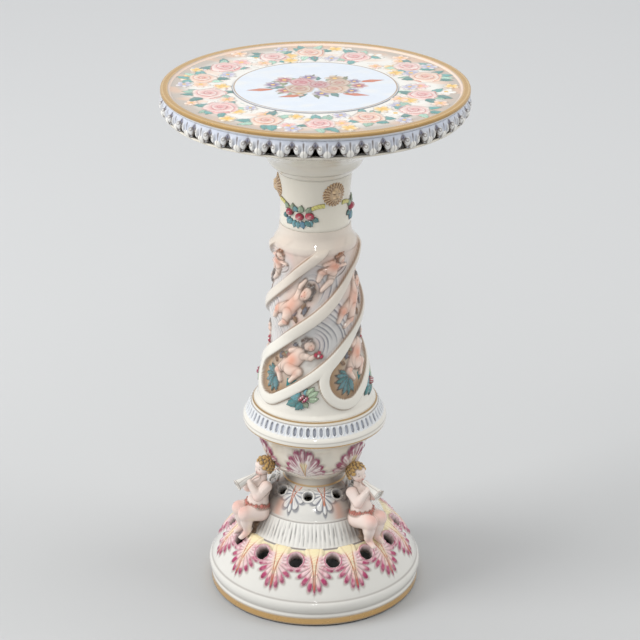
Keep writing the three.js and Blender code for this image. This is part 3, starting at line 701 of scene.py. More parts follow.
class Figure:
    """A modelled figure as a distance field: below zero inside. Its parts melt into each other
    with a smooth minimum. Points are (out from the axis, sideways, up from the base's top)."""

    def __init__(self, corner, far_corner, step):
        self.corner, self.step = np.array(corner, float), step
        counts = ((np.array(far_corner) - self.corner) / step).astype(int) + 1
        self.axes = [low + step * np.arange(count) for low, count in zip(self.corner, counts)]
        self.field = np.full(counts, 9.0)
        self.parts = []

    def _distance(self, shape, points):
        """Distance of x, y, z arrays from a part. A ball has one centre and three radii. A limb
        has two centres, and its radius changes evenly from one to the other."""
        kind, first, second, sizes = shape
        offset = [part - origin for part, origin in zip(points, first)]
        if kind == "ball":
            ratio = np.sqrt(sum((part / size) ** 2 for part, size in zip(offset, sizes)))
            return (ratio - 1) * min(sizes)
        run = np.subtract(second, first)
        way = sum(part * reach for part, reach in zip(offset, run)) / (run @ run)
        way = clamp(way)
        far = np.sqrt(sum((part - way * reach) ** 2 for part, reach in zip(offset, run)))
        return far - sizes[0] - way * (sizes[1] - sizes[0])

    def add(self, shape, group, melt=2.5):
        """Melts one part into the figure, worked out only in the cells round it."""
        kind, first, second, sizes = shape
        reach = max(sizes) + melt + 4
        ends = np.array([first, second if kind == "limb" else first])
        window = tuple(
            slice(*np.searchsorted(axis, (low - reach, high + reach)))
            for axis, low, high in zip(self.axes, ends.min(0), ends.max(0))
        )
        spots = np.meshgrid(*[axis[part] for axis, part in zip(self.axes, window)], indexing="ij")
        part, whole = self._distance(shape, spots), self.field[window]
        mix = clamp(0.5 + 0.5 * (whole - part) / melt)
        self.field[window] = whole + mix * (part - whole) - melt * mix * (1 - mix)
        self.parts.append((shape, group))

    def both(self, kind, first, second, sizes, group, melt=2.5):
        """Adds a part and its mirror image on the other side."""
        for side in (1, -1):
            ends = [np.multiply(end, (1, side, 1)) for end in (first, second or first)]
            self.add((kind, *ends, sizes), group, melt)

    def skin(self):
        """Surface nets: a point in each cell that the zero level crosses, at the mean of the
        crossings on its edges, and a quad round each grid edge that crosses."""
        shape = np.array(self.field.shape) + 1
        total, count, quads = np.zeros((shape.prod(), 3)), np.zeros(shape.prod()), []
        for axis in range(3):
            low = np.take(self.field, range(self.field.shape[axis] - 1), axis)
            high = np.take(self.field, range(1, self.field.shape[axis]), axis)
            cross = (low < 0) != (high < 0)
            place = np.argwhere(cross).astype(float)
            cell = np.argwhere(cross) + 1
            low, high = low[cross], high[cross]
            place[:, axis] += low / (low - high)
            ring = []
            for step_u, step_v in ((0, 0), (-1, 0), (-1, -1), (0, -1)):
                spot = cell.copy()
                spot[:, (axis + 1) % 3] += step_u
                spot[:, (axis + 2) % 3] += step_v
                ring.append(np.ravel_multi_index(spot.T, shape))
                for k in range(3):
                    total[:, k] += np.bincount(ring[-1], place[:, k], len(count))
                count += np.bincount(ring[-1], minlength=len(count))
            ring = np.stack(ring, 1)
            quads.append(np.where((low < 0)[:, None], ring, ring[:, ::-1]))
        used = np.flatnonzero(count)
        number = np.full(len(count), -1)
        number[used] = np.arange(len(used))
        points = self.corner + self.step * total[used] / count[used, None]
        return points, number[np.concatenate(quads)]

    def nearness(self, points):
        """The distance of points from the nearest part of each group."""
        best = np.full((len(TINTS), len(points)), 99.0)
        for shape, group in self.parts:
            best[group] = np.minimum(best[group], self._distance(shape, points.T))
        return best


def model_cherub():
    """One cherub, built from balls and limbs in its own frame."""
    child = Figure((60, -28, -9), (130, 28, 116), 0.8)
    child.add(("ball", (86, 0, 31), None, (15.5, 17.5, 14)), BODY)
    child.add(("ball", (90, 0, 45), None, (15.5, 16.5, 15)), BODY, 5)
    child.add(("ball", (86, 0, 64), None, (13.5, 17.5, 15)), BODY, 6)
    child.both("ball", (95.5, 7, 67), None, (5, 6.2, 5.5), BODY, 4)
    child.both("ball", (80, 8.5, 27), None, (12, 11.5, 12), BODY, 3)
    child.add(("limb", (83, 0, 72), (81, 0, 86), (6.5, 5.2)), BODY, 3)
    child.add(("ball", (79.5, 0, 99), None, (12, 11.2, 12)), HEAD, 2)
    child.both("ball", (86.5, 4.8, 94), None, (5.2, 5, 5), HEAD, 3)
    child.add(("ball", (88.3, 0, 89), None, (3.4, 3.6, 3)), HEAD, 3)
    child.add(("ball", (86.5, 0, 103), None, (6.2, 8, 6)), HEAD, 3)
    child.add(("limb", (91.3, 0, 99), (92.6, 0, 95.2), (1.0, 1.7)), HEAD, 1.2)
    child.both("ball", (91.5, 1.4, 94.8), None, (1.1, 1.1, 1), HEAD, 0.8)
    child.add(("ball", (91.2, 0, 92.0), None, (1.3, 2.4, 0.8)), HEAD, 0.6)
    child.add(("ball", (90.8, 0, 90.4), None, (1.3, 2.0, 0.9)), HEAD, 0.6)
    child.both("limb", (89.8, 2.4, 101), (88.2, 7.4, 100.6), (0.9, 0.7), HEAD, 1.5)
    child.both("ball", (89.0, 4.5, 98.4), None, (1.5, 2.1, 1.2), HEAD, 0.5)
    child.both("ball", (79.5, 11.2, 96), None, (2.6, 1.8, 3.4), HEAD, 1)
    child.both("limb", (83, 13.5, 73), (98, 16.8, 62), (8.4, 7.0), ARM)
    child.both("limb", (98, 16.8, 62), (104.5, 7.5, 78), (7.0, 4.9), ARM, 2)
    child.both("ball", (105.5, 4.8, 81.5), None, (4.4, 3.8, 3.8), ARM, 2)
    for finger in range(4):
        root = 104 + 2.2 * finger, 4, 84.5 - 0.8 * finger
        tip = 103 + 2.2 * finger, -0.5, 87 - 0.8 * finger
        child.both("limb", root, tip, (1.3, 1.0), ARM, 0.5)
    child.both("limb", (91, 9.8, 32), (115, 10.2, 35), (13.4, 10.8), LEG, 2.5)
    child.both("limb", (115, 10.2, 33), (111, 8.8, 8), (9.8, 6.4), LEG, 2)
    child.both("ball", (112.5, 9.8, 22), None, (8.6, 8.2, 10), LEG, 3)
    child.both("limb", (112, 8.5, 3), (121, 9.5, -2), (5.0, 3.6), LEG, 2)
    for toe in range(4):
        tip = 123.6 - 0.7 * toe, 7 + 1.8 * toe, -2.6
        child.both("ball", tip, None, (1.5, 1.1, 1.2), LEG, 0.4)
    child.add(("ball", (90, 0, 41), None, (17.6, 18.4, 5.5)), CLOTH, 1)
    for fold in range(15):
        angle = np.radians(-98 + 14 * fold)
        top = 90 + 16.8 * np.cos(angle), 17.4 * np.sin(angle), 44 + 1.5 * (fold % 2)
        low = 91 + 17.4 * np.cos(angle), 17.8 * np.sin(angle), 36 - 2 * (fold % 3)
        child.add(("limb", top, low, (2.4, 2.0)), CLOTH, 0.5)
    turns = np.arange(84) * 2.39996
    heights = np.linspace(1, -0.62, 84)
    for turn, height in zip(turns, heights):
        ring = np.sqrt(1 - height**2)
        spot = np.array([ring * np.cos(turn), ring * np.sin(turn), height])
        if spot[0] > 0.42 and height < 0.66 or spot[0] > 0.1 and height < 0.1:
            continue
        centre = (79.3, 0, 99.8) + spot * (12.8, 12.4, 12.6)
        child.add(("ball", tuple(centre), None, (3.1, 3.1, 2.8)), HAIR, 0.6)
    child.add(("ball", (86, 0, 8), None, (15, 16, 14)), ROCK, 2)
    child.add(("ball", (92, 9, 0), None, (12, 9, 9)), ROCK, 2)
    child.add(("ball", (93, -8, 2), None, (11, 9, 10)), ROCK, 2)
    child.add(("ball", (79, 0, 18), None, (10, 13, 10)), ROCK, 2)
    return child


def seat_on(figure, outline, sink):
    """Cuts away what lies deeper than sink inside the castings, by their radius at each level."""
    out, side, up = np.meshgrid(*figure.axes, indexing="ij", sparse=True)
    wall = np.interp(up + SEAT_LEVEL, outline[:, 1], outline[:, 0])
    inside = (wall - sink - np.hypot(out, side)) * 0.75
    figure.field = np.maximum(figure.field, inside)


def paint_cherub(figure, points):
    """Each point takes its nearest part's colour, then blushes and drawn features, then painted
    shade in the creases and painted highlights and shade on the curls.
    """
    near = figure.nearness(points)
    part = np.argmin(near, 0)
    order = np.sort(near, axis=0)
    weight = np.exp(-(near - order[0]) / 0.35)
    colour = (weight / weight.sum(0)).T @ TINTS
    skin = (part < CLOTH).astype(float)
    out, side, up = points.T

    def spot(centre, size):
        """A soft round spot and its mirror image."""
        aside = np.abs(side) - centre[1]
        return np.exp(-((out - centre[0]) ** 2 + aside**2 + (up - centre[2]) ** 2) / size**2)

    for centre, size, amount in CHERUB_BLUSHES:
        stain(colour, spot(centre, size) * amount * skin, BLUSH_PINK)
    # Painted shade in the creases between parts, as a thin dark line.
    crease = soft(1.0 - (order[1] - order[0]), 0.9) * (order[0] > -1.6) * skin
    stain(colour, crease * 0.7, STONE)
    stain(colour, spot((91.6, 0, 91.4), 1.7) * 1.3 * skin, ROSE)
    for along in (0.0, 1.2, 2.4, 3.6):
        lid = 90.2, 3.0 + along, 98.3 + 0.25 * along * (3.6 - along)
        brow = 90.0, 2.6 + 1.3 * along, 101.8 + 0.2 * along
        stain(colour, spot(lid, 0.8) * 1.3, STONE)
        stain(colour, spot(brow, 0.8) * 0.6, STONE)
    curls = np.array([shape[1] for shape, group in figure.parts if group == HAIR])
    far = np.sort(np.linalg.norm(points[:, None] - curls, axis=2), axis=1)
    # Painted highlight on the crown of each curl, and painted shade in the creases between curls.
    stain(colour, (part == HAIR) * soft(2.6 - far[:, 0], 1) * 0.6, CURL_HIGHLIGHT)
    broken = 0.55 + 0.45 * np.sin(points @ (0.9, 0.7, 1.1))
    stain(colour, (part == HAIR) * soft(1.3 - (far[:, 1] - far[:, 0]), 0.9) * broken, UMBER_DARK)
    pattern = soft(np.sin(points @ (1.6, 1.9, 1.3)) - 0.5, 0.5)
    stain(colour, (part == CLOTH) * pattern, STONE)
    stain(colour, (part == ROCK) * 0.4 * (0.5 + 0.5 * np.sin(up * 1.3)), UMBER_DARK)
    return colour


def stand_up(points, turn):
    """Points of a cherub's own frame, turned to its place round the axis, in metres."""
    angle = np.radians(turn)
    out, side, up = points.T
    x = out * np.sin(angle) + side * np.cos(angle)
    y = side * np.sin(angle) - out * np.cos(angle)
    return MM * np.stack([x, y, up + SEAT_LEVEL], -1)


cherub = model_cherub()
seat = [(152, 40), (141, 54), (133, 67), (124, 78.5), (114, 88.5), (105, 95.9), (98, 104.6)]
seat += [(92, 114.5), (86, 124.5), (83, 129), (80, 131), (75.5, 140.5), (70, 148), (54, 162)]
seat += [(46, 166), (44.5, 180), (54, 186.5), (62, 195), (68, 206), (71.5, 216)]
seat_on(cherub, np.array(seat), 1.5)
cherub_points, cherub_faces = cherub.skin()
cherub_paint = paint_cherub(cherub, cherub_points)


def horn(turn, name, node):
    """A slim horn, turned round the line from the mouth to its bell, hollow at the bell."""
    start, end = np.array([92.5, 0, 90]), np.array([124, 0, 77])
    axis = (end - start) / np.linalg.norm(end - start)
    level = np.cross(axis, (0, 1, 0))
    outline = section(
        0.8,
        [(0.3, 0), (2.2, 0.2), (2.9, 6), (4.2, 14), (5.9, 22), (7.3, 29), (8.8, 33.0)],
        [(8.8, 33.0), (7.6, 32.6)],
        [(7.6, 32.6), (6.2, 30.5), (3.5, 29), (0.3, 28.5)],
    )
    columns = 40
    angle = np.linspace(0, 2 * np.pi, columns, endpoint=False)
    ring = np.cos(angle)[:, None] * np.array([0, 1, 0]) + np.sin(angle)[:, None] * level
    points = start + outline[:, None, 1:] * axis + outline[:, None, :1] * ring
    faces = grid_faces(len(outline), columns, wrap_rows=True)[..., ::-1]
    colour = np.ones(points.shape) * MILK
    rows = outline[:, 1][:, None]
    stripes = drawn(nearest(np.degrees(angle) + rows, 5) * 0.1, 1.0)
    line = np.maximum(drawn(rows - 31.4, 1.2), stripes)
    stain(colour, 0.75 * line * (rows > 2), SHADE)
    flat = stand_up(points.reshape(-1, 3), turn), [faces.reshape(-1, 4)], colour.reshape(-1, 3)
    new_piece(name, *flat, np.zeros(points.shape[:2]).ravel(), GLAZE, [node], "leaf_glaze")


for k, turn in enumerate(CHERUB_TURNS):
    placed = stand_up(cherub_points, turn)
    plain = np.zeros(len(placed))
    name, node = f"painted_cherub_{k + 1}", f"cherub_{k + 1}"
    new_piece(name, placed, [cherub_faces], cherub_paint, plain, GLAZE, [node], "skin_glaze")
    horn(turn, f"pale_horn_{k + 1}", f"horn_{k + 1}")


# Spool: the short plain collar of cream porcelain that lifts the bowl off the foot. It has a
# gilded line above and below, and painted shade: a little all round, most behind the cherubs.
spool_section = section(
    1.2,
    [(32, 166), (45.6, 166)],
    [(45.6, 166), (44.5, 168.4), (44.5, 179)],
    [(44.5, 179), (46.4, 182), (32, 182)],
)
spool = Casting(spool_section, 180, CREAM)
# Painted shade: a little all round under the bowl, and most behind the cherubs.
spool.stain(0.2 + 0.7 * by_cherubs(spool, 0, 34), SHADE * 0.8)
spool.gild(drawn(spool.level - 167.4, 1.6))
spool.gild(drawn(spool.level - 181, 1.4))
spool.cast("glazed_spool", ["spool_collar"], "glaze", GLAZE)


# Bowl: a cast cup whose wall carries six tall leaf fans, with a pointed calyx between them.
# White leaves edged in dark magenta, with an orange vein.
FANS = 6
bowl_section = section(
    1.05,
    [(46.5, 182), (54, 186.5), (62, 195), (68, 206), (71.5, 216), (75, 228), (80, 240),
     (86, 249), (90, 253)],
)
bowl = Casting(bowl_section, 660, CREAM)


def bowl_fans(body):
    """Six fans that rise from the calyx and curl over at the rim, drawn in broken magenta
    strokes, and the calyx's U edges between them."""
    up = body.level - 193
    across = np.radians(nearest(body.turn, FANS, -12)) * body.radius
    share, crown, stroke = leaf(across, up, 56, 30, 9, 82, 0.15)
    hand = 0.5 + 0.5 * np.clip(uneven(body, 8, 13), -1, 1)
    inside = soft(share * 34, 1.6) * soft(250.5 - body.level, 1.5)
    lift = clamp((body.level - 195) / 40)
    body.height += inside * (2 + 6 * lift) * (0.6 + 0.4 * crown) * clamp(share) ** 0.3
    # Painted shadow on the wall just outside each fan's edge.
    body.stain(hump(share + 0.03, 0.06) * (share < 0.02) * (up > 0) * 0.4, SHADE)
    body.stain(inside, MILK * 0.6 + PALE_ROSE * 0.4)
    fine = soft(stroke - 0.68, 0.4) * soft((0.24 + 0.34 * hand - share) * 40, 5)
    body.stain(inside * fine * (0.45 + 0.5 * hand), MAGENTA * 0.75)
    tips = (0.55 + 0.45 * crown) * soft((0.05 + 0.15 * hand - share) * 40, 3) * soft(up - 6, 6)
    body.stain(inside * tips, MAGENTA * 0.6)
    gap = soft(0.25 - crown, 0.25) * soft((share - 0.02) * 40, 3) * soft((0.34 - share) * 40, 6)
    body.stain(inside * gap * 0.65, MAGENTA * 0.6)
    spread = 4.5 * clamp(up / 26) ** 1.4 * soft(30 - up, 3)
    body.stain(inside * soft(spread - np.abs(across)) * soft(28 - up, 6) * 0.8, PALE_YELLOW)
    body.stain(inside * drawn(np.abs(across) - spread, 1.2) * soft(27 - up, 4) * 0.85, ORANGE * 0.8)
    gap = np.abs(nearest(body.turn, FANS, 18)) / (180 / FANS)
    brim = 199 + 14 * gap**2.4
    calyx = soft(brim - body.level, 1.0) * (1 - inside)
    body.height += 2.4 * calyx * soft(body.level - 183, 3)
    body.stain(drawn(body.level - brim + 1.8, 0.9 + 3.2 * gap**2) * (1 - inside) * 0.85, MAGENTA * 0.75)
    body.stain(drawn(body.level - brim - 0.4, 0.8) * (1 - inside) * 0.5, INK)


bowl_fans(bowl)
# Painted shade on the bowl's foot behind the cherubs.
bowl.stain(by_cherubs(bowl, 0, 22) * soft(206 - bowl.level, 20) * 0.6, SHADE)
# Painted shade in the hollows of the relief.
bowl.pool(SHADE, 2, 0.35)
bowl.cast("painted_bowl", ["leafed_bowl"], "glaze", GLAZE, (), 8, 10)


# Oval collar: a half-round bead under a band of 64 pressed ovals, cast in one ring. The band is
# glazed bluish white with a grey wash in the ovals, and gilded lines run above and below it.
OVALS = 64
OVAL_START = 182.8
ICE = rgb(0.72, 0.76, 0.82)
collar_section = section(
    1.0,
    [(72, 253), (95.5, 253)],
    [(95.5, 253), (101, 256), (102.5, 261), (101, 267), (97, 272)],
    [(97, 272), (96, 274), (91.5, 284)],
    [(91.5, 284), (89.6, 286.4), (88.8, 289), (86, 291)],
    [(86, 291), (72, 291)],
)
collar = Casting(collar_section, 640, CREAM * 0.4 + MILK * 0.6)


def collar_ovals(body):
    """A row of 64 upright ovals pressed into the band, each with a raised white frame and a
    grey-blue wash and outline of its own strength."""
    slot = ((body.turn + OVAL_START) * OVALS / 360).astype(int) % OVALS
    hand = np.random.default_rng(17).uniform(0.25, 1, OVALS)[slot]
    across = np.radians(nearest(body.turn, OVALS)) * body.radius
    ring = np.hypot(across / 2.4, (body.level - 277.6) / 5.4)
    band = soft(body.level - 270.5) * soft(285 - body.level)
    body.stain(band * 0.95, ICE)
    body.height += band * (0.9 * hump(ring - 1.35, 0.3) - 1.8 * soft(1.0 - ring, 0.3))
    body.stain(band * soft(0.98 - ring, 0.25) * (0.3 + 0.4 * hand), SLATE * 2.2)
    body.stain(band * drawn((ring - 0.92) * 3, 1.0) * hand, SLATE)
    body.stain(band * hump(ring - 1.4, 0.25) * 0.7, MILK)


collar_ovals(collar)
ring_line(collar, 264, 1.0, INK, 0.6)
ring_line(collar, 285.4, 1.2, INK, 0.7)
collar.gild(drawn(collar.level - 257.8, 2.2), GOLD * 0.9)
collar.gild(drawn(collar.level - 289.6, 1.8), GOLD * 0.7)
collar.cast("oval_band", ["oval_collar"], "glaze", GLAZE)


# Column: a waisted tube cast with four sunken panels that climb to the right between raised
# straps. Figures in low relief fill the panels, and the straps are plain cream.
PANELS = 4
column_section = section(
    1.18,
    [(86, 291), (82.6, 304), (80, 320), (77, 335), (73, 353), (69.5, 366), (67, 378), (65, 392),
     (64.5, 402), (66, 414), (67.5, 428), (67, 440), (64, 455), (61, 468), (58.6, 481), (58, 495),
     (60, 506), (61.5, 518), (61, 528), (55, 537), (51, 545), (49.2, 557)],
)
column = Casting(column_section, 384, CREAM * 0.5 + MILK * 0.5)


def panel_frame(body):
    """Unrolled panel coordinates in mm. Each panel's middle line starts at its round lower end,
    35 degrees from the front and 342 mm up, and climbs 1 mm for each 1.05 degrees. Gives the
    nearest panel's number, how far along its line a point is, and how far to its upper side."""
    best = np.full(body.turn.shape, np.inf)
    number, along, side = np.zeros((3,) + body.turn.shape)
    pitch = np.radians(1.05) * body.radius
    slope = 1 / np.hypot(1, pitch)
    for k in range(-2 * PANELS, PANELS + 1):
        turn = body.turn - 35 - 90 * k
        sideways = np.radians(turn) * body.radius
        up = body.level - 342
        ahead = (sideways * pitch + up) * slope
        off = (up * pitch - sideways) * slope
        far = np.where(ahead < 0, np.hypot(ahead, off), np.abs(off))
        closer = far < best
        best = np.where(closer, far, best)
        number = np.where(closer, k % PANELS, number)
        along = np.where(closer, ahead, along)
        side = np.where(closer, off, side)
    return number, along, side, best


SKIN = rgb(0.80, 0.64, 0.55)
BLUSH = rgb(0.74, 0.30, 0.19)
TEAL = rgb(0.03, 0.20, 0.21)
SEA = rgb(0.10, 0.33, 0.38)
SAGE = rgb(0.36, 0.50, 0.33)
CARMINE = rgb(0.42, 0.03, 0.07)
CURLS = rgb(0.16, 0.13, 0.12)
CHESTNUT = rgb(0.33, 0.13, 0.06)
WASH = rgb(0.62, 0.60, 0.57)
WINE_DARK = rgb(0.20, 0.06, 0.08)
SHADE_UNDER_TOP = rgb(0.69, 0.60, 0.52)
DUSKY_PINK = rgb(0.70, 0.54, 0.46)
OCHRE = rgb(0.37, 0.23, 0.11)
CLOTH_GREY = rgb(0.62, 0.62, 0.63)
SUNK = -4.6
number, ahead, side, off_line = panel_frame(column)
fade = soft(530 - column.level, 10)
sunk = soft(24.5 - off_line, 2.2)
strap = soft(40 - off_line, 2.0) * (1 - sunk)
foot = soft(400 - column.level, 40) * soft(column.level - 295, 6)
column.height += fade * (SUNK * sunk) - 2.6 * (1 - sunk - strap) * foot * fade
column.height += 2.2 * np.sqrt(clamp(1 - ((off_line - 32.5) / 8.6) ** 2)) * fade
# Painted shade under the top: the column darkens towards its upper end.
column.stain(soft(column.level - 440, 120) * 0.8, SHADE_UNDER_TOP)
column.stain(sunk * fade * 0.8, WASH)
rosy = clamp((ahead - 100) / 90)
column.stain(sunk * fade * rosy * 0.7, DUSKY_PINK)
column.stain(sunk * fade * clamp(uneven(column, 12, 30)) * 0.35, PINK)
ochre = clamp(1.25 - ahead / 48) * (0.5 + 0.5 * soft(off_line - 13, 14))
column.stain(sunk * ochre * 0.9, OCHRE)
column.stain(sunk * fade * clamp(uneven(column, 14, 16) - 0.2) * (1 - 0.6 * rosy) * 0.5, SHADE)


def limb(body, panel, start, end, crown=5.2):
    """A tapering limb between two (ahead, side, half width) points of one panel."""
    run = np.subtract(end[:2], start[:2])
    way = (ahead - start[0]) * run[0] + (side - start[1]) * run[1]
    way = clamp(way / (run @ run))
    far = np.hypot(ahead - start[0] - way * run[0], side - start[1] - way * run[1])
    far = np.where(number == panel, far, 1e3)
    size = start[2] + way * (end[2] - start[2])
    reached = np.minimum(crown, size.max() * 0.8) * fade
    body.mould(far, size, reached, SKIN, SUNK * fade, 0.6)


def blush(body, panel, place, size, strength):
    """A soft red patch."""
    far = np.hypot(ahead - place[0], side - place[1])
    body.stain(hump(far, size) * strength * (number == panel) * sunk, BLUSH)


def curly(body, panel, place, size, colour):
    """A head of hair: a rounded cap with curled strokes, from a twisted sine of its angle."""
    dx, dy = ahead - place[0], side - place[1]
    far = np.where((number == panel) & (fade > 0.5), np.hypot(dx, dy), 1e3)
    edge = size * (1 + 0.1 * np.sin(7 * np.arctan2(dy, dx)))
    body.mould(far, edge, 5.8, colour, SUNK, 0.8)
    coil = np.sin(1.9 * far + 3 * np.arctan2(dy, dx)) * np.sin(1.3 * dx) * (far < edge)
    body.height += 0.7 * coil
    # Painted highlight on each curl's crest and painted shade in its trough.
    body.stain(clamp(coil) * 0.6, colour * 0.5 + MILK * 0.5)
    body.stain(clamp(-coil) * 0.7, INK)


def head(body, panel, place, size, facing, hair):
    """A child's head: curls all round, and in them a face turned to an angle of the panel, with
    a rosy cheek and calm painted eyes and mouth."""
    curly(body, panel, place, size, hair)
    way = np.array([np.cos(np.radians(facing)), np.sin(np.radians(facing))])
    low, high = place + way * size * 0.34, place + way * size * 0.62
    limb(body, panel, (*low, size * 0.7), (*high, size * 0.62), 7.4)
    blush(body, panel, tuple(high), size * 0.4, 0.5)
    aside = np.array([-way[1], way[0]])
    for step, width, radius in ((0.52, 0.3, 0.85), (0.52, -0.3, 0.85), (0.95, 0.0, 0.8)):
        spot = place + size * (way * step + aside * width)
        mark = soft(radius - np.hypot(ahead - spot[0], side - spot[1])) * (number == panel) * fade
        body.stain(mark * 0.75, UMBER if width else CARMINE)


def drapery(body, panel, place, inner, outer, middle, spread, colour=SLATE):
    """Blown cloth: arcs round a place between two radii, each a fold that is raised and drawn,
    with a length, a place and a taper of its own."""
    dice = np.random.default_rng(int(inner * 10 + outer))
    dx, dy = ahead - place[0], side - place[1]
    far, angle = np.hypot(dx, dy), np.degrees(np.arctan2(dy, dx))
    off = np.abs((angle - middle + 180) % 360 - 180)
    window = soft(far - inner, 6) * soft(outer - far, 12) * soft(spread - off, 30)
    here = (number == panel) * sunk * fade
    body.stain(window * here * 0.65, CLOTH_GREY)
    radius = inner
    while radius < outer:
        centre, half = middle + dice.uniform(-0.4, 0.4) * spread, spread * dice.uniform(0.45, 0.9)
        gap = np.abs((angle - centre + 180) % 360 - 180) / half
        taper = clamp(1 - gap**2) * here
        bow = far - radius - 2.5 * np.sin(np.radians(angle - centre) * 1.7)
        body.height += 1.1 * hump(bow, 2.0) * taper
        body.stain(drawn(bow + 1.2, 2.1 * taper, 0.8) * taper**0.5 * 0.85, colour)
        # Painted highlight along each fold, beside its drawn line.
        body.stain(hump(bow - 0.8, 1.2) * taper * 0.4, MILK)
        radius += dice.uniform(5.5, 9.5)


def thicket(body, panel, spots, tints, seed):
    """Small dark leaves behind a figure, with their own angles and sizes."""
    dice = np.random.default_rng(seed)
    for k, spot in enumerate(spots):
        frame = aimed(ahead, side, spot, dice.uniform(0, 360))
        frame = np.where(number == panel, frame, -99)
        reach = dice.uniform(9, 13)
        body.lay_leaf(frame, reach, reach * 0.33, tints[k % len(tints)], 2.6, SUNK, 3, 0.7)


def lay_child(body, panel, limbs, blushes):
    """Lays a child's limbs one over the other, then its blushes of (place, size, strength)."""
    for start, end in limbs:
        limb(body, panel, start, end)
    for place, size, strength in blushes:
        blush(body, panel, place, size, strength)


def reclining_child(body, panel):
    """Lower scene: a child that lies among leaves and holds out a flower."""
    drapery(body, panel, (74, 2), 16, 82, 0, 75)
    dark = (UMBER, SLATE, WINE_DARK, SAGE * 0.5)
    thicket(body, panel, [(18 + 5 * k, 14 + 3 * (k % 2)) for k in range(10)], dark, 60)
    for angle, reach in ((100, 21), (125, 24), (150, 25), (175, 26), (200, 26), (225, 25), (250, 22)):
        frame = aimed(ahead, side, (8, -3), angle)
        frame = np.where(number == panel, frame, -99)
        tint = TEAL if reach % 2 else SEA * 0.8
        body.lay_leaf(frame, reach, 5.6, tint * 0.8, 3.6, SUNK, 5, 1.0)
    legs = ((31, 5, 8), (15, 4, 5.6)), ((15, 4, 5), (14, -11, 3.4))
    back = ((58, 11, 4.6), (47, 17, 3.4)), ((34, 0, 11), (57, 4, 10))
    bent_leg = ((34, -4, 8.5), (45, -15, 6)), ((45, -15, 5.2), (29, -19, 3.4))
    arm = ((61, 0, 5), (68, -9, 3.8)), ((68, -9, 3.6), (76, -11, 2.8))
    blushes = ((44, 4), 9, 0.8), ((16, 3), 4, 0.6), ((40, -13), 5, 0.4)
    lay_child(body, panel, legs + back + bent_leg + arm, blushes)
    head(body, panel, np.array([75, 9]), 9.6, -75, CURLS)
    for dx, dy in ((0, 0), (4, 3), (4, -3), (-1, 4)):
        far = np.hypot(ahead - 77 - dx, side + 14 - dy) + 1e3 * (number != panel)
        body.mould(far, 3.0, 4.2, CARMINE, SUNK, 0.6)
    body.stain(soft(1.5 - np.hypot(ahead - 78.5, side + 13)) * (number == panel), MILK)


def sitting_child(body, panel):
    """Middle scene: a child seated against blown cloth, looking back."""
    drapery(body, panel, (196, -2), 15, 44, -5, 110)
    cloth = [(166 + 4 * k, -15 + 2 * (k % 3)) for k in range(6)]
    thicket(body, panel, cloth, (INK * 1.6, UMBER, SLATE), 61)
    leg = ((160, 5, 7.6), (146, 10, 6)), ((146, 10, 5.4), (133, 4, 3.6))
    trunk = (((162, 0, 10), (180, 3, 9.2)),)
    other_leg = ((160, -4, 8), (149, -12, 6)), ((149, -12, 5.4), (134, -11, 3.4))
    arm = ((179, 8, 4.8), (188, 15, 3.8)), ((188, 15, 3.6), (198, 16, 2.8))
    blushes = ((170, 2), 10, 0.6), ((146, 10), 6, 0.8), ((150, -12), 5, 0.6)
    lay_child(body, panel, leg + trunk + other_leg + arm, blushes)
    head(body, panel, np.array([194, 1]), 9.6, 165, CURLS * 0.8)
    blush(body, panel, (189, 4), 3.5, 0.3)


def flying_child(body, panel):
    """Upper scene: a child with red hair, with cloth blown below."""
    drapery(body, panel, (246, 10), 14, 36, -110, 80, INK)
    leg = ((238, 2, 8), (225, 9, 6)), ((225, 9, 5.4), (212, 4, 3.6))
    other_leg = ((236, -4, 7.4), (223, -10, 5.2)), ((223, -10, 4.8), (209, -9, 3.2))
    trunk = (((238, 0, 9.2), (253, 3, 8.6)),)
    arms = ((252, -3, 4.4), (260, -12, 3.4)), ((250, 9, 4.2), (239, 15, 3))
    blushes = ((248, 3), 11, 0.8), ((226, 8), 6, 0.5)
    lay_child(body, panel, leg + other_leg + trunk + arms, blushes)
    head(body, panel, np.array([264, 5]), 8.4, -100, CHESTNUT)


for panel in range(PANELS):
    reclining_child(column, panel)
    sitting_child(column, panel)
    flying_child(column, panel)
column.height = np.minimum(column.height, 2.8)
near_edge = drawn(off_line - 24.8, 1.2) * np.where(side < 0, 1.0, 0.75)
column.stain(near_edge * fade * 0.85, UMBER)
outer_edge = drawn(off_line - 40.5, 1.2) * (0.45 + 0.5 * soft(390 - column.level, 30))
column.stain(outer_edge * fade, UMBER)
# Painted shade in the hollows of the relief.
column.pool(UMBER, 2, 0.16)
column.cast("relief_column", ["spiral_column"], "glaze", GLAZE, (), 8, 16)


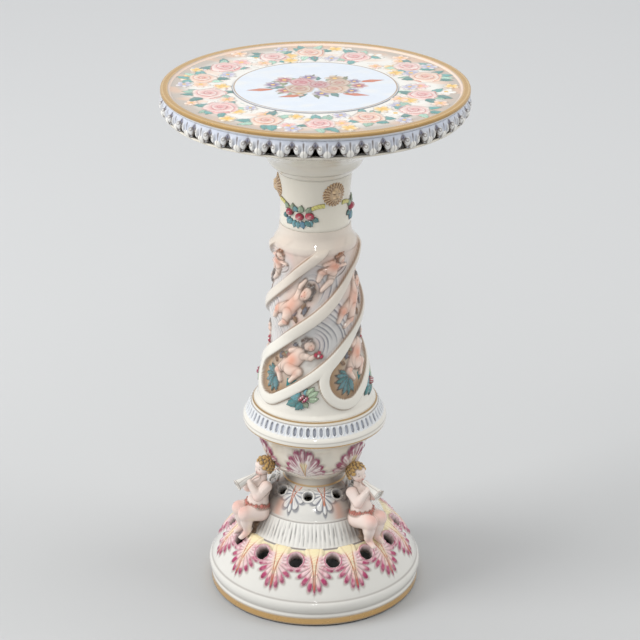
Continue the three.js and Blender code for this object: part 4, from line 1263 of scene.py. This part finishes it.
# Leaf sprays: four small bunches of leaves and berries, pressed in one mould and stuck on
# between the panels' round ends. Teal to the lower left, pale green to the upper right.
class Sprig(Casting):
    """A small relief stuck on a casting: a grid over part of the turn, closed at its back. It
    starts a little under the casting's skin, so only what is modelled shows."""

    def __init__(self, outline, middle, half_angle, columns, ground, depth=1.2):
        super().__init__(outline, columns, ground)
        self.turn = np.tile(np.linspace(-half_angle, half_angle, columns), (len(outline), 1)) + middle
        self.x = np.radians(self.turn - middle) * self.radius
        self.height -= depth

    def press(self, name, node, slot, material, back):
        """Makes the piece: front, a back that much under the section, and the four edges."""
        rows, columns = self.height.shape
        count = rows * columns
        points = np.concatenate([self.points(self.height), self.points(-back)]).reshape(-1, 3)
        front = grid_faces(rows, columns, wrap_columns=False).reshape(-1, 4)
        numbers = np.arange(count).reshape(rows, columns)
        sides = numbers[0, :-1], numbers[:-1, -1], numbers[-1, :0:-1], numbers[:0:-1, 0]
        loop = np.concatenate(sides)
        after = np.roll(loop, -1)
        rim = np.stack([after, loop, loop + count, after + count], -1)
        faces = [front, front[:, ::-1] + count, rim]
        colour = np.tile(self.colour.reshape(-1, 3), (2, 1))
        return new_piece(name, points, faces, colour, np.zeros(2 * count), material, [node], slot)


def stretch(outline, low, high, step):
    """The part of an outline between two levels, evenly spaced in level."""
    levels = np.linspace(low, high, int(round((high - low) / step)) + 1)
    return np.column_stack([np.interp(levels, outline[:, 1], outline[:, 0]), levels])


def leaf_spray(turn, name, node):
    """Ten leaves round six berries, with highlights on the berries."""
    spray = Sprig(stretch(column_section, 299, 346, 0.6), turn, 19, 96, TEAL, 4.2)
    x, y = spray.x, spray.level - 322
    field = -2.6
    for root, angle, reach, half_width, colour in (
        ((0, 3), 150, 15, 4.5, SEA), ((4, -5), 255, 12, 4.5, SEA), ((5, -4), 300, 11, 4.5, SAGE * 0.7),
        ((0, -2), 205, 25, 8.0, TEAL), ((0, 2), 180, 20, 6.5, SEA), ((3, -5), 228, 17, 6.0, TEAL),
        ((6, 4), 80, 11, 5.0, SEA), ((8, 4), 52, 17, 5.5, SAGE), ((9, 1), 32, 19, 6.0, SAGE),
        ((9, -2), 8, 17, 5.5, SAGE),
    ):
        spray.lay_leaf(aimed(x, y, root, angle), reach, half_width, colour, 4.0, field, 4)
    for k, (bx, by) in enumerate(((-1, -1), (3, 3), (4, -3), (8, 1), (1, 1), (6, -1))):
        berry = MAGENTA if k % 2 else CARMINE
        spray.mould(np.hypot(x - bx, y - by), 2.7, 6.0, berry, field + 1, 0.7)
        spray.stain(soft(0.9 - np.hypot(x - bx + 0.8, y - by - 1)), MILK)
    # Painted shade in the hollows of the relief.
    spray.pool(INK, 2, 0.5)
    spray.press(name, node, "leaf_glaze", GLAZE, 5.5)


for k in range(PANELS):
    leaf_spray(-14 + 90 * k, f"leaf_bunch_{k + 1}", f"leaf_spray_{k + 1}")


# Neck: a plain tube of cream porcelain between the column and the dish. It carries the masks and
# garlands, and a thin dark line marks its joint with the column.
neck_section = section(
    2.5, [(40, 557), (49, 557)], [(49, 557), (48, 582), (48.3, 604), (51, 632)], [(51, 632), (40, 632)]
)
neck = Casting(neck_section, 240, CREAM)
ring_line(neck, 558.5, 1.6, INK, 0.5)
neck.cast("glazed_neck", ["neck"], "glaze", GLAZE)


# Masks and garlands: three amber lion masks with a ray-like mane, and between them garlands of
# leaves and red fruits on yellow ribbons, pressed in moulds and stuck on the neck.
AMBER = rgb(0.47, 0.25, 0.09)
HONEY = rgb(0.78, 0.58, 0.36)
LEMON = rgb(0.66, 0.62, 0.20)
BLUE = rgb(0.07, 0.24, 0.36)
neck_wall = neck_section[17:-4]


def lion_mask(turn, name, node):
    """A small mask in a mane of rays. The rays are |cos| waves of the angle round the face."""
    plate = Sprig(stretch(neck_wall, 590, 630, 0.6), turn, 24, 78, AMBER)
    x, y = plate.x, plate.level - 610
    far, angle = np.hypot(x, y), np.arctan2(y, x)
    for rays, size, crown, phase in ((11, 17.5, 3.0, 0.0), (10, 13.5, 5.0, 0.4)):
        ray = np.abs(np.cos(rays * angle + phase))
        edge = size * (0.86 + 0.14 * ray**0.5)
        plate.mould(far, edge, crown, AMBER * 0.75, 0.0, 0.5)
        on_ring = (far < edge) * (far > size * 0.4)
        plate.height += 0.7 * (ray - 0.4) * on_ring
        # Painted highlight on each ray's crest and painted shade in the grooves between rays.
        plate.stain(on_ring * ray**4 * 0.85, HONEY)
        plate.stain(on_ring * (1 - ray) ** 3 * 0.7, UMBER)
    for place, size, crown, colour in (
        ((0, 0.5), 8.6, 6.6, HONEY * 0.9), ((0, 4), 6.5, 7.4, HONEY), ((-3.6, 5.6), 2.6, 8.0, HONEY),
        ((3.6, 5.6), 2.6, 8.0, HONEY), ((0, 1), 2.3, 8.4, HONEY), ((-2.4, -2.6), 3.0, 8.2, HONEY),
        ((2.4, -2.6), 3.0, 8.2, HONEY), ((0, -6), 3.0, 7.0, HONEY * 0.8),
    ):
        plate.mould(np.hypot(x - place[0], (y - place[1]) * 0.9), size, crown, colour, 0.0, 0.25)
    for spot in (-3.3, 3.3):
        eye = soft(1.3 - np.hypot(x - spot, y - 3.1))
        plate.height -= 0.6 * eye
        plate.stain(eye * 0.9, UMBER)
    plate.stain(drawn(y + 4.4 - 0.05 * x**2, 0.8) * (np.abs(x) < 3.6) * 0.8, UMBER)
    # Painted shade in the hollows of the relief.
    plate.pool(UMBER, 2, 0.5)
    plate.press(name, node, "mask_glaze", GLAZE, 2.5)


def garland(turn, name, node):
    """A swag: ribbons up to the masks at both ends, leaves, and three fruits at its middle."""
    swag = Sprig(stretch(neck_wall, 558.5, 604, 0.6), turn, 44, 150, TEAL)
    x, y = swag.x, swag.level - 580
    for hand in (-1, 1):
        droop = y - 15 + 0.018 * (34 - hand * x) ** 2
        inside = (hand * x > 11) * (hand * x < 36.5)
        swag.mould(np.where(inside, np.abs(droop), 99), 3.4, 2.2, LEMON, 0.0, 0.9)
        strokes = drawn((hand * x + 0.7 * droop) % 5 - 2.5, 0.9) * (np.abs(droop) < 4) * inside
        swag.stain(strokes * 0.55, UMBER)
    for root, angle, reach, half_width, colour in (
        ((-13, -4), 245, 13, 5, BLUE), ((-4, -7), 255, 12, 5.5, SEA), ((5, -7), 285, 12, 5.5, BLUE),
        ((14, -4), 300, 12, 5, SEA), ((-18, -2), 205, 10, 4.5, TEAL), ((20, -2), 330, 10, 4.5, TEAL),
        ((0, -8), 268, 11, 4.5, SEA), ((-9, -6), 232, 12, 4.5, SEA), ((10, -6), 312, 12, 4.5, TEAL),
        ((-16, 5), 120, 12, 5, SAGE * 0.8), ((-7, 4), 100, 13, 5.5, SAGE * 0.7),
        ((3, 4), 80, 12, 5.5, SAGE * 0.8), ((12, 4), 60, 12, 5, SAGE * 0.6), ((-1, 5), 125, 10, 4, SEA),
    ):
        swag.lay_leaf(aimed(x, y, root, angle), reach, half_width, colour, 3.4, 0.0, 3, 0.8)
    for fx, fy in ((-13.5, 3), (2, -1.5), (16, 1)):
        far = np.hypot((x - fx) * 0.85, y - fy)
        swag.mould(far, 5.4, 6.2, CARMINE, 0.0, 0.8)
        # Painted highlights on each fruit: a pale shine and a small white glint.
        shine = hump(np.hypot(x - fx + 0.5, y - fy + 1.5), 2.6)
        swag.stain(shine * 0.8, rgb(0.78, 0.42, 0.42))
        swag.stain(soft(0.8 - np.hypot(x - fx - 1.6, y - fy - 1.4)), MILK)
        swag.stain(drawn(np.hypot(x - fx, y - fy - 1.2) - 1.8, 0.7) * (y > fy) * 0.8, INK)
    # Painted shade in the hollows of the relief.
    swag.pool(INK, 2, 0.5)
    swag.press(name, node, "bloom_glaze", GLAZE, 2.5)


for k in range(3):
    lion_mask(32 + 120 * k, f"amber_mask_{k + 1}", f"lion_mask_{k + 1}")
    garland(-28 + 120 * k, f"fruit_garland_{k + 1}", f"garland_{k + 1}")


# Dish: the wide shallow saucer of cream porcelain that carries the top. The rod through its
# middle clamps it to the neck, and two thin dark lines run round its foot.
dish_section = section(
    2.2,
    [(52, 632), (57.6, 639.6), (61.5, 641.6)],
    [(61.5, 641.6), (64, 645)],
    [(64, 645), (68, 652), (80, 664), (110, 680.5), (150, 697.5), (190, 712.2), (203, 716.6)],
    [(203, 716.6), (203, 719)],
    [(203, 719), (195, 719)],
)
dish = Casting(dish_section, 300, CREAM)
ring_line(dish, 632.8, 1.6, INK, 0.5)
ring_line(dish, 642, 1.4, INK, 0.6)
dish_web = [(190, 716), (150, 706.5), (110, 689), (80, 673), (60, 652), (ROD_HOLE, 641), (ROD_HOLE, 632)]
dish.cast("glazed_dish", ["saucer"], "glaze", GLAZE, dish_web)


# Leaf gallery: a ring of 44 small modelled leaves hangs between the dish and the top. The leaves
# are lavender blue above with white drops below, outlined in black, with dark gaps between.
TIPS = 44
PERIWINKLE = rgb(0.60, 0.64, 0.74)
GALLERY_TOP = 741


def gallery_leaves():
    """One closed band. Each leaf is a domed shell with a white drop at its foot and a curled lobe
    to each side. Its lower edge bows down to 22 mm, and straight sides from 0.62 of the way to the
    gap make a triangular opening between two leaves."""
    columns, rows = TIPS * 30, 26
    turn = np.tile(np.arange(columns) * 360 / columns, (rows, 1))
    share = np.linspace(0, 1, rows)[:, None] + 0 * turn
    aside = np.abs(nearest(turn, TIPS, 180 / TIPS) / (180 / TIPS))
    low = np.where(aside < 0.62, 22 - 7 * aside**2, 19.3 - 26 * (aside - 0.62))
    down = low * share
    sideways = aside * 14.6
    drop = clamp(1 - (sideways / 5.8) ** 2 - ((down - 17.8) / 6.0) ** 2) ** 0.5
    lobe = clamp(1 - ((sideways - 8.4) / 4.4) ** 2 - ((down - 11.5) / 6.5) ** 2) ** 0.5
    body = clamp(1 - aside**2) ** 0.5
    profile = np.sin(np.pi * clamp(0.1 + down / 26)) ** 0.7
    knot = np.exp(-(((14.6 - sideways) / 2.2) ** 2) - ((down - 5) / 2.8) ** 2)
    radius = 202 + 5.0 * profile * body + 2.8 * drop + 2.4 * lobe + 3.0 * knot
    radius -= 0.8 * hump(sideways, 0.8) * soft(11 - down, 3)
    hand = np.random.default_rng(7).uniform(0, 1, TIPS)[(turn * TIPS / 360).astype(int)]
    colour = np.ones(turn.shape + (1,)) * PERIWINKLE
    stain(colour, 0.55 * hand * soft(down - 4, 8), MILK)
    stain(colour, soft(drop * 4 - 1, 2), MILK * 1.04)
    stain(colour, lobe * 0.8, MILK)
    stain(colour, soft(down - low + 2.2, 1) * soft(aside - 0.6, 0.1), MILK)
    stain(colour, drawn(sideways, 1.9 * soft(10.5 - down, 8)) * soft(down - 2.5) * 0.95, INK)
    for reach in (3.4, 5.6):
        streak = drawn(sideways - reach - 0.0168 * (down - 8) ** 2, 0.7)
        stain(colour, streak * soft(down - 5, 2) * soft(15 - down, 3) * (0.3 + 0.6 * hand), SLATE)
    ring = np.hypot(sideways - 8.4, (down - 11.5) * 0.7)
    stain(colour, drawn(ring - 4.6, 1.6) * soft(sideways - 6.9 + 0.5 * (down - 13), 2) * 0.95, INK)
    stain(colour, drawn(np.hypot(sideways - 9.4, down - 8.6) - 1.9, 1.0) * 0.8, INK)
    stain(colour, soft(down - 5, 3) * soft(14.5 - down, 4) * drawn(sideways - 4.4, 2.4, 2) * 0.3, SLATE)
    foot = np.hypot(sideways, (down - 17.2) * 0.9)
    stain(colour, drawn(foot - 5.6, 1.3) * soft(down - 14.8, 2) * 0.95, INK)
    stain(colour, drawn(down - low + 2.4, 0.6) * soft(aside - 0.7, 0.1) * 0.5, SLATE)
    stain(colour, knot * 1.3, SLATE * (0.9, 0.8, 0.95))
    stain(colour, drawn(np.hypot(14.6 - sideways, down - 5) - 2.8, 0.9) * 0.7, INK)
    front = polar(radius, turn, GALLERY_TOP - down)
    picked = np.arange(0, rows, 5)
    back = polar(np.minimum(radius - 2.0, 200.5), turn, GALLERY_TOP - down)[picked]
    points = np.concatenate([front[::-1], back])
    # The back of the band is painted nearly black: painted shade for the dark hollow seen through the gaps
    # between the leaves.
    tint = np.concatenate([colour[::-1], np.ones(colour[picked].shape) * SLATE * 0.3])
    faces = grid_faces(rows + len(picked), columns, wrap_rows=True).reshape(-1, 4)
    gilt = np.zeros(len(points) * columns)
    flat = points.reshape(-1, 3), [faces], tint.reshape(-1, 3), gilt
    return new_piece("leaf_ring", *flat, GLAZE, ["leaf_gallery"], "leaf_glaze")


gallery_leaves()


# Top: a round plate with a gilded rim. A ring of roses, small flowers and leaves in low relief
# is modelled and painted on it in pale pinks, peach and teal.
PEACH = rgb(0.82, 0.50, 0.33)
ROSE_PINK = rgb(0.79, 0.40, 0.38)
DEEP_ROSE = rgb(0.55, 0.13, 0.17)
MINT = rgb(0.36, 0.60, 0.48)
SEA_GREEN = rgb(0.09, 0.31, 0.30)
SUN = rgb(0.83, 0.53, 0.14)
LILAC = rgb(0.43, 0.42, 0.57)
TAUPE = rgb(0.42, 0.35, 0.29)
LEAF_TINTS = SEA_GREEN, MINT, SEA_GREEN, SEA_GREEN, MINT, SEA_GREEN
top_section = section(
    1.1,
    [(195, 741), (203.5, 741)],
    [(203.5, 741), (207, 745), (207, 749)],
    [(207, 749), (205.8, 750), (197.5, 750)],
    [(197.5, 750), (194.5, 747.2)],
    [(194.5, 747.2), (111.5, 747.2)],
)
top = Casting(top_section, 900, MILK)


def plan(body, place):
    """How far right of and behind a place the points are, in mm seen from above."""
    angle = np.radians(body.turn)
    return body.radius * np.sin(angle) - place[0], -body.radius * np.cos(angle) - place[1]


def on_plan(turn, radius):
    """A place seen from above, by its turn from the front and its radius."""
    return radius * np.array([np.sin(np.radians(turn)), -np.cos(np.radians(turn))])


def lay_rose(body, place, size, tint, phase, crown=2.3, pale=0.8):
    """A full rose: petals in a spiral whose turns are the steps of far + angle, kinked by a
    |sin| where one petal covers the next, with five bays at the edge and a deeper heart."""
    dx, dy = plan(body, place)
    far, angle = np.hypot(dx, dy), np.arctan2(dy, dx)
    edge = size * (1 - 0.13 * np.abs(np.sin(2.5 * angle + phase)))
    inside = soft(edge - far, 1.2)
    kink = 1 + 0.2 * np.abs(np.sin(1.5 * angle + phase + 4 * far / size))
    whorl = (far / size * kink * 2.4 + angle / (2 * np.pi) + phase) % 1
    rise = crown * np.sqrt(clamp(1 - (far / edge) ** 2)) * (0.6 + 0.4 * whorl)
    body.height = np.where(far < edge, np.maximum(body.height, rise), body.height)
    body.stain(hump(far - edge, 1.8) * 0.6, TAUPE)
    body.stain(inside, tint * 0.7 + MILK * 0.3)
    body.stain(inside * whorl**2 * pale, MILK)
    body.stain(inside * (1 - whorl) ** 3 * 0.7, tint * rgb(0.9, 0.6, 0.6))
    body.stain(inside * hump(far / size, 0.36) * 0.65, DEEP_ROSE * 0.6 + tint * 0.4)
    line = drawn((whorl - 0.06) * size / 2.7, 0.8) * soft(far - 1.5) * inside
    body.stain(line * 0.65, DEEP_ROSE * 0.6)


def lay_blossom(body, place, size, tint, phase, crown=1.6):
    """A small open flower of five petals, |cos| waves of the angle round a yellow eye."""
    dx, dy = plan(body, place)
    far, angle = np.hypot(dx, dy), np.arctan2(dy, dx) + phase
    petal = np.abs(np.cos(2.5 * angle))
    edge = size * (0.5 + 0.5 * petal**0.7)
    inside = soft(edge - far, 1.0)
    body.height = np.where(far < edge, np.maximum(body.height, crown * (0.4 + 0.6 * petal)), body.height)
    body.stain(inside, tint)
    body.stain(inside * (far / size) ** 2 * petal, MILK)
    body.stain(drawn(far - edge, 0.8) * 0.45, SHADE)
    body.stain(soft(size * 0.22 - far), SUN)


def flower_wreath(body):
    """The wreath, from the ground up: a taupe wash by the rim, loose petals, leaves behind each
    of the fourteen roses, small flowers between them, the roses, and dark tendrils inside."""
    dice = np.random.default_rng(21)
    body.stain(soft(body.radius - 172, 22) * 0.8, TAUPE)
    body.stain(np.clip(0.5 * uneven(body, 31, 34), 0, 0.5) * soft(body.radius - 128, 16), PEACH)
    places = [(25.7 * k + dice.uniform(-4, 4), 153 + dice.uniform(-9, 9)) for k in range(14)]
    for k in range(34):
        turn, radius = 360 / 34 * k + dice.uniform(-4, 4), dice.uniform(132, 180)
        petal = (SUN, PEACH, MILK, ROSE_PINK, MILK, LILAC)[k % 6]
        lay_blossom(body, on_plan(turn, radius), dice.uniform(11, 16), petal, dice.uniform(0, 6), 0.9)
    for turn, radius in places:
        for side, tint in zip((-62, -25, 12, 52, 150, 195), LEAF_TINTS):
            angle = turn - 90 + side + dice.uniform(-14, 14)
            way = np.array([np.cos(np.radians(angle)), np.sin(np.radians(angle))])
            root = on_plan(turn, radius) + way * dice.uniform(12, 17)
            frame = aimed(*plan(body, (0, 0)), root, angle + dice.uniform(-35, 35))
            shade = tint * dice.uniform(0.7, 1.25)
            body.lay_leaf(frame, dice.uniform(19, 28), dice.uniform(6, 8.5), shade, 1.4, 0, 3, 0.5)
    for k, (turn, _) in enumerate(places):
        for inward, tint in ((-27, (LILAC, SUN, PEACH)[k % 3]), (25, (SUN, LILAC, PEACH)[k % 3])):
            spot = on_plan(turn + 12.8 + dice.uniform(-2, 2), 153 + inward + dice.uniform(-4, 4))
            lay_blossom(body, spot, dice.uniform(9.5, 13), tint, dice.uniform(0, 6))
    for k, (turn, radius) in enumerate(places):
        tint = (ROSE_PINK, PEACH, ROSE_PINK * (1, 1.2, 1.15))[k % 3]
        lay_rose(body, on_plan(turn, radius), dice.uniform(20, 25), tint, dice.uniform(0, 6))
    for k in range(70):
        spot = on_plan(dice.uniform(0, 360), dice.uniform(117, 140))
        along, across = aimed(*plan(body, (0, 0)), spot, dice.uniform(0, 360))
        mark = soft(dice.uniform(2, 5.5) - np.abs(along)) * drawn(across - 0.05 * along**2, 1.2)
        body.stain(mark * 0.7, (SHADE, SEA_GREEN, DEEP_ROSE)[k % 3])


flower_wreath(top)
top.stain(drawn(top.radius - 195.2, 2.2) * (top.level > 746.5), PEACH * 0.5 + MILK * 0.5)
top.height *= (top.radius < 193.5) * (top.radius > 112.5)
# Painted shade in the hollows of the relief.
top.pool(SHADE, 2, 0.5)
on_side = soft(745.6 - top.level) * (top.radius > 200)
top.stain(on_side, PERIWINKLE * 0.5 + MILK * 0.5)
top.gild(soft(top.radius - 197.4) * (1 - on_side))
# Painted highlights: paler lines along the gold rim's outer edge and by its inner step. Painted shade:
# darker gold on the rim's outer side below.
top.stain(drawn(top.radius - 204.6, 1.6) * (top.level > 749) * 0.8, GOLD * (1.3, 1.5, 2.0))
top.stain(drawn(top.radius - 198.6, 1.2) * (top.level > 749) * 0.6, GOLD * (1.25, 1.4, 1.7))
top.stain(soft(top.radius - 206.2) * soft(748 - top.level, 2) * (1 - on_side) * 0.7, GOLD * 0.5)
top.cast("flower_ring", ["table_top"], "glaze", GLAZE, [(111.5, 741)])


# Middle disc: the flat round middle on which things stand, pale blue inside a gilded line, with
# a painted bouquet of garden flowers.
SKY = rgb(0.70, 0.76, 0.84)
PLUM = rgb(0.20, 0.13, 0.28)
WINE = rgb(0.40, 0.10, 0.12)
BRONZE = rgb(0.44, 0.28, 0.15)
OLIVE = rgb(0.26, 0.30, 0.15)
FLAME = rgb(0.60, 0.15, 0.06)
disc_section = section(
    1.25, [(111.4, 741), (111.4, 747.6)], [(111.4, 747.6), (110.2, 748.5)], [(110.2, 748.5), (0.02, 748.5)]
)
disc = Casting(disc_section, 540, SKY)


def bouquet(body):
    """Leaves first, then the flowers from the outside of the bunch to its middle, all flat."""
    dice = np.random.default_rng(5)
    right, back = plan(body, (0, 0))
    sweep = uneven(body, 41, 30) * 0.5 + 0.5 * np.sin(back / 7 + 1.5 * uneven(body, 42, 60))
    body.stain(clamp(sweep) * 0.45, MILK)
    body.stain(clamp(-sweep) * 0.15, PERIWINKLE)
    for k in range(26):
        angle = 360 / 26 * k + dice.uniform(-6, 6)
        bend = np.radians(angle)
        root = 40 * np.cos(bend), 26 * np.sin(bend)
        frame = aimed(right, back, root, angle + dice.uniform(-25, 25))
        tint = (OLIVE, SAGE * 0.8, SEA_GREEN * 0.7, OLIVE * 0.7)[k % 4]
        body.lay_leaf(frame, dice.uniform(18, 32), dice.uniform(4.5, 7), tint, 0, 0, 3, 0.4)
    for x, y, angle in ((36, -32, -12), (-14, -38, -165), (58, 20, 14), (-56, -14, 188)):
        frame = aimed(right, back, (x, y), angle)
        body.lay_leaf(frame, 36, 6, FLAME, 0, 0, 2, 0.3)
    for x, y, size, tint in (
        (-57, 6, 13, PLUM), (-42, 27, 14, WINE), (-9, 38, 13, PLUM), (26, 35, 14, BRONZE),
        (58, 3, 13, WINE), (48, -19, 12, PLUM), (-40, -20, 13, WINE), (8, -31, 13, PLUM),
        (-22, -30, 11, BRONZE), (52, 22, 11, PLUM),
    ):
        lay_blossom(body, (x, y), size, tint, dice.uniform(0, 6), 0)
    for x, y, size, tint in (
        (-21, -10, 21, BRONZE), (24, -10, 22, BRONZE * 1.25), (-18, 18, 18, WINE * 1.3),
        (31, 16, 17, BRONZE), (5, 7, 16, WINE),
    ):
        lay_rose(body, (x, y), size, tint, dice.uniform(0, 6), 0, 0.35)


bouquet(disc)
disc.height[:] = 0
disc.gild(drawn(disc.radius - 108.8, 1.5) * (disc.level > 748), GOLD * 0.8)
disc.stain(soft(disc.radius - 110.4) * 0.7, INK)
disc.cast("painted_disc", ["table_top"], "glaze", GLAZE, [(0.02, 741)])


# Floor, light and camera: a plain pale floor that grows lighter with the distance, a large soft
# lamp from the left, softer ones from the right and above, and a small one for the sparks in the
# glaze. The camera stands at the photograph's angle.
FLOOR_REACH = 30
floor_mesh = bpy.data.meshes.new("floor")
corners = [(FLOOR_REACH * x, FLOOR_REACH * y, 0) for x, y in ((-1, -1), (1, -1), (1, 1), (-1, 1))]
floor_mesh.from_pydata(corners, [], [(0, 1, 2, 3)])
floor = bpy.data.objects.new("floor", floor_mesh)
bpy.context.scene.collection.objects.link(floor)
paper = Finish("pale_floor")
here = paper.node("ShaderNodeTexCoord", output="Object")
back = paper.node("ShaderNodeSeparateXYZ", None, {0: here}, "Y")
ramp = {"operation": "MULTIPLY_ADD", "use_clamp": True}
# Painted light: the floor's colour grows lighter with the distance, for the fall of the lamps' light.
depth = paper.node("ShaderNodeMath", ramp, {0: back, 1: 0.16, 2: 0.02})
near_tone = paper.blend(paper.noise(0.6), (0.47, 0.475, 0.475, 1), (0.495, 0.5, 0.5, 1))
paper.surface(Base_Color=paper.blend(depth, near_tone, (0.98, 0.99, 1.0, 1)), Roughness=0.9)
floor_mesh.materials.append(paper.material)

world = bpy.data.worlds.new("studio")
bpy.context.scene.world = world
world.use_nodes = True
sky = world.node_tree.nodes["Background"]
sky.inputs["Color"].default_value = (0.98, 0.99, 1.0, 1)
sky.inputs["Strength"].default_value = 0.57


def lamp(name, place, aim, size, watts):
    """A square soft lamp at a place in metres, turned towards its aim. Only a small one is seen
    in the glaze, as a spark."""
    data = bpy.data.lights.new(name, "AREA")
    data.size = size
    data.energy = watts
    obj = bpy.data.objects.new(name, data)
    bpy.context.scene.collection.objects.link(obj)
    obj.location = place
    direction = mathutils.Vector(aim) - mathutils.Vector(place)
    obj.rotation_euler = direction.to_track_quat("-Z", "Y").to_euler()
    obj.visible_glossy = size < 1


lamp("soft_box", (-3.3, -0.9, 2.7), (0, 0, 0.4), 2.4, 135)
lamp("side_box", (3.2, -0.4, 2.8), (0, 0, 0.4), 2.4, 55)
lamp("sky_box", (0, 0.6, 4.2), (0, 0, 0.4), 2.2, 34)
lamp("small_lamp", (0.05, -2.9, 2.9), (0, 0, 0.4), 0.22, 6)

camera_data = bpy.data.cameras.new("camera")
camera_data.sensor_width = 36
camera_data.lens = 119.87
camera = bpy.data.objects.new("camera", camera_data)
bpy.context.scene.collection.objects.link(camera)
pitch, yaw, roll = 0.4168, 0.0026, 0.0034
ahead_axis = np.array([np.sin(yaw) * np.cos(pitch), np.cos(yaw) * np.cos(pitch), -np.sin(pitch)])
right_axis = np.array([np.cos(yaw), -np.sin(yaw), 0])
up_axis = np.cross(right_axis, ahead_axis)
turned_right = np.cos(roll) * right_axis + np.sin(roll) * up_axis
turned_up = np.cos(roll) * up_axis - np.sin(roll) * right_axis
pose = np.eye(4)
pose[:3, 0], pose[:3, 1], pose[:3, 2] = turned_right, turned_up, -ahead_axis
pose[:3, 3] = (0, -2.7275, 1.6147)
camera.matrix_world = mathutils.Matrix(pose.tolist())
bpy.context.scene.camera = camera
bpy.context.scene.view_settings.view_transform = "Standard"
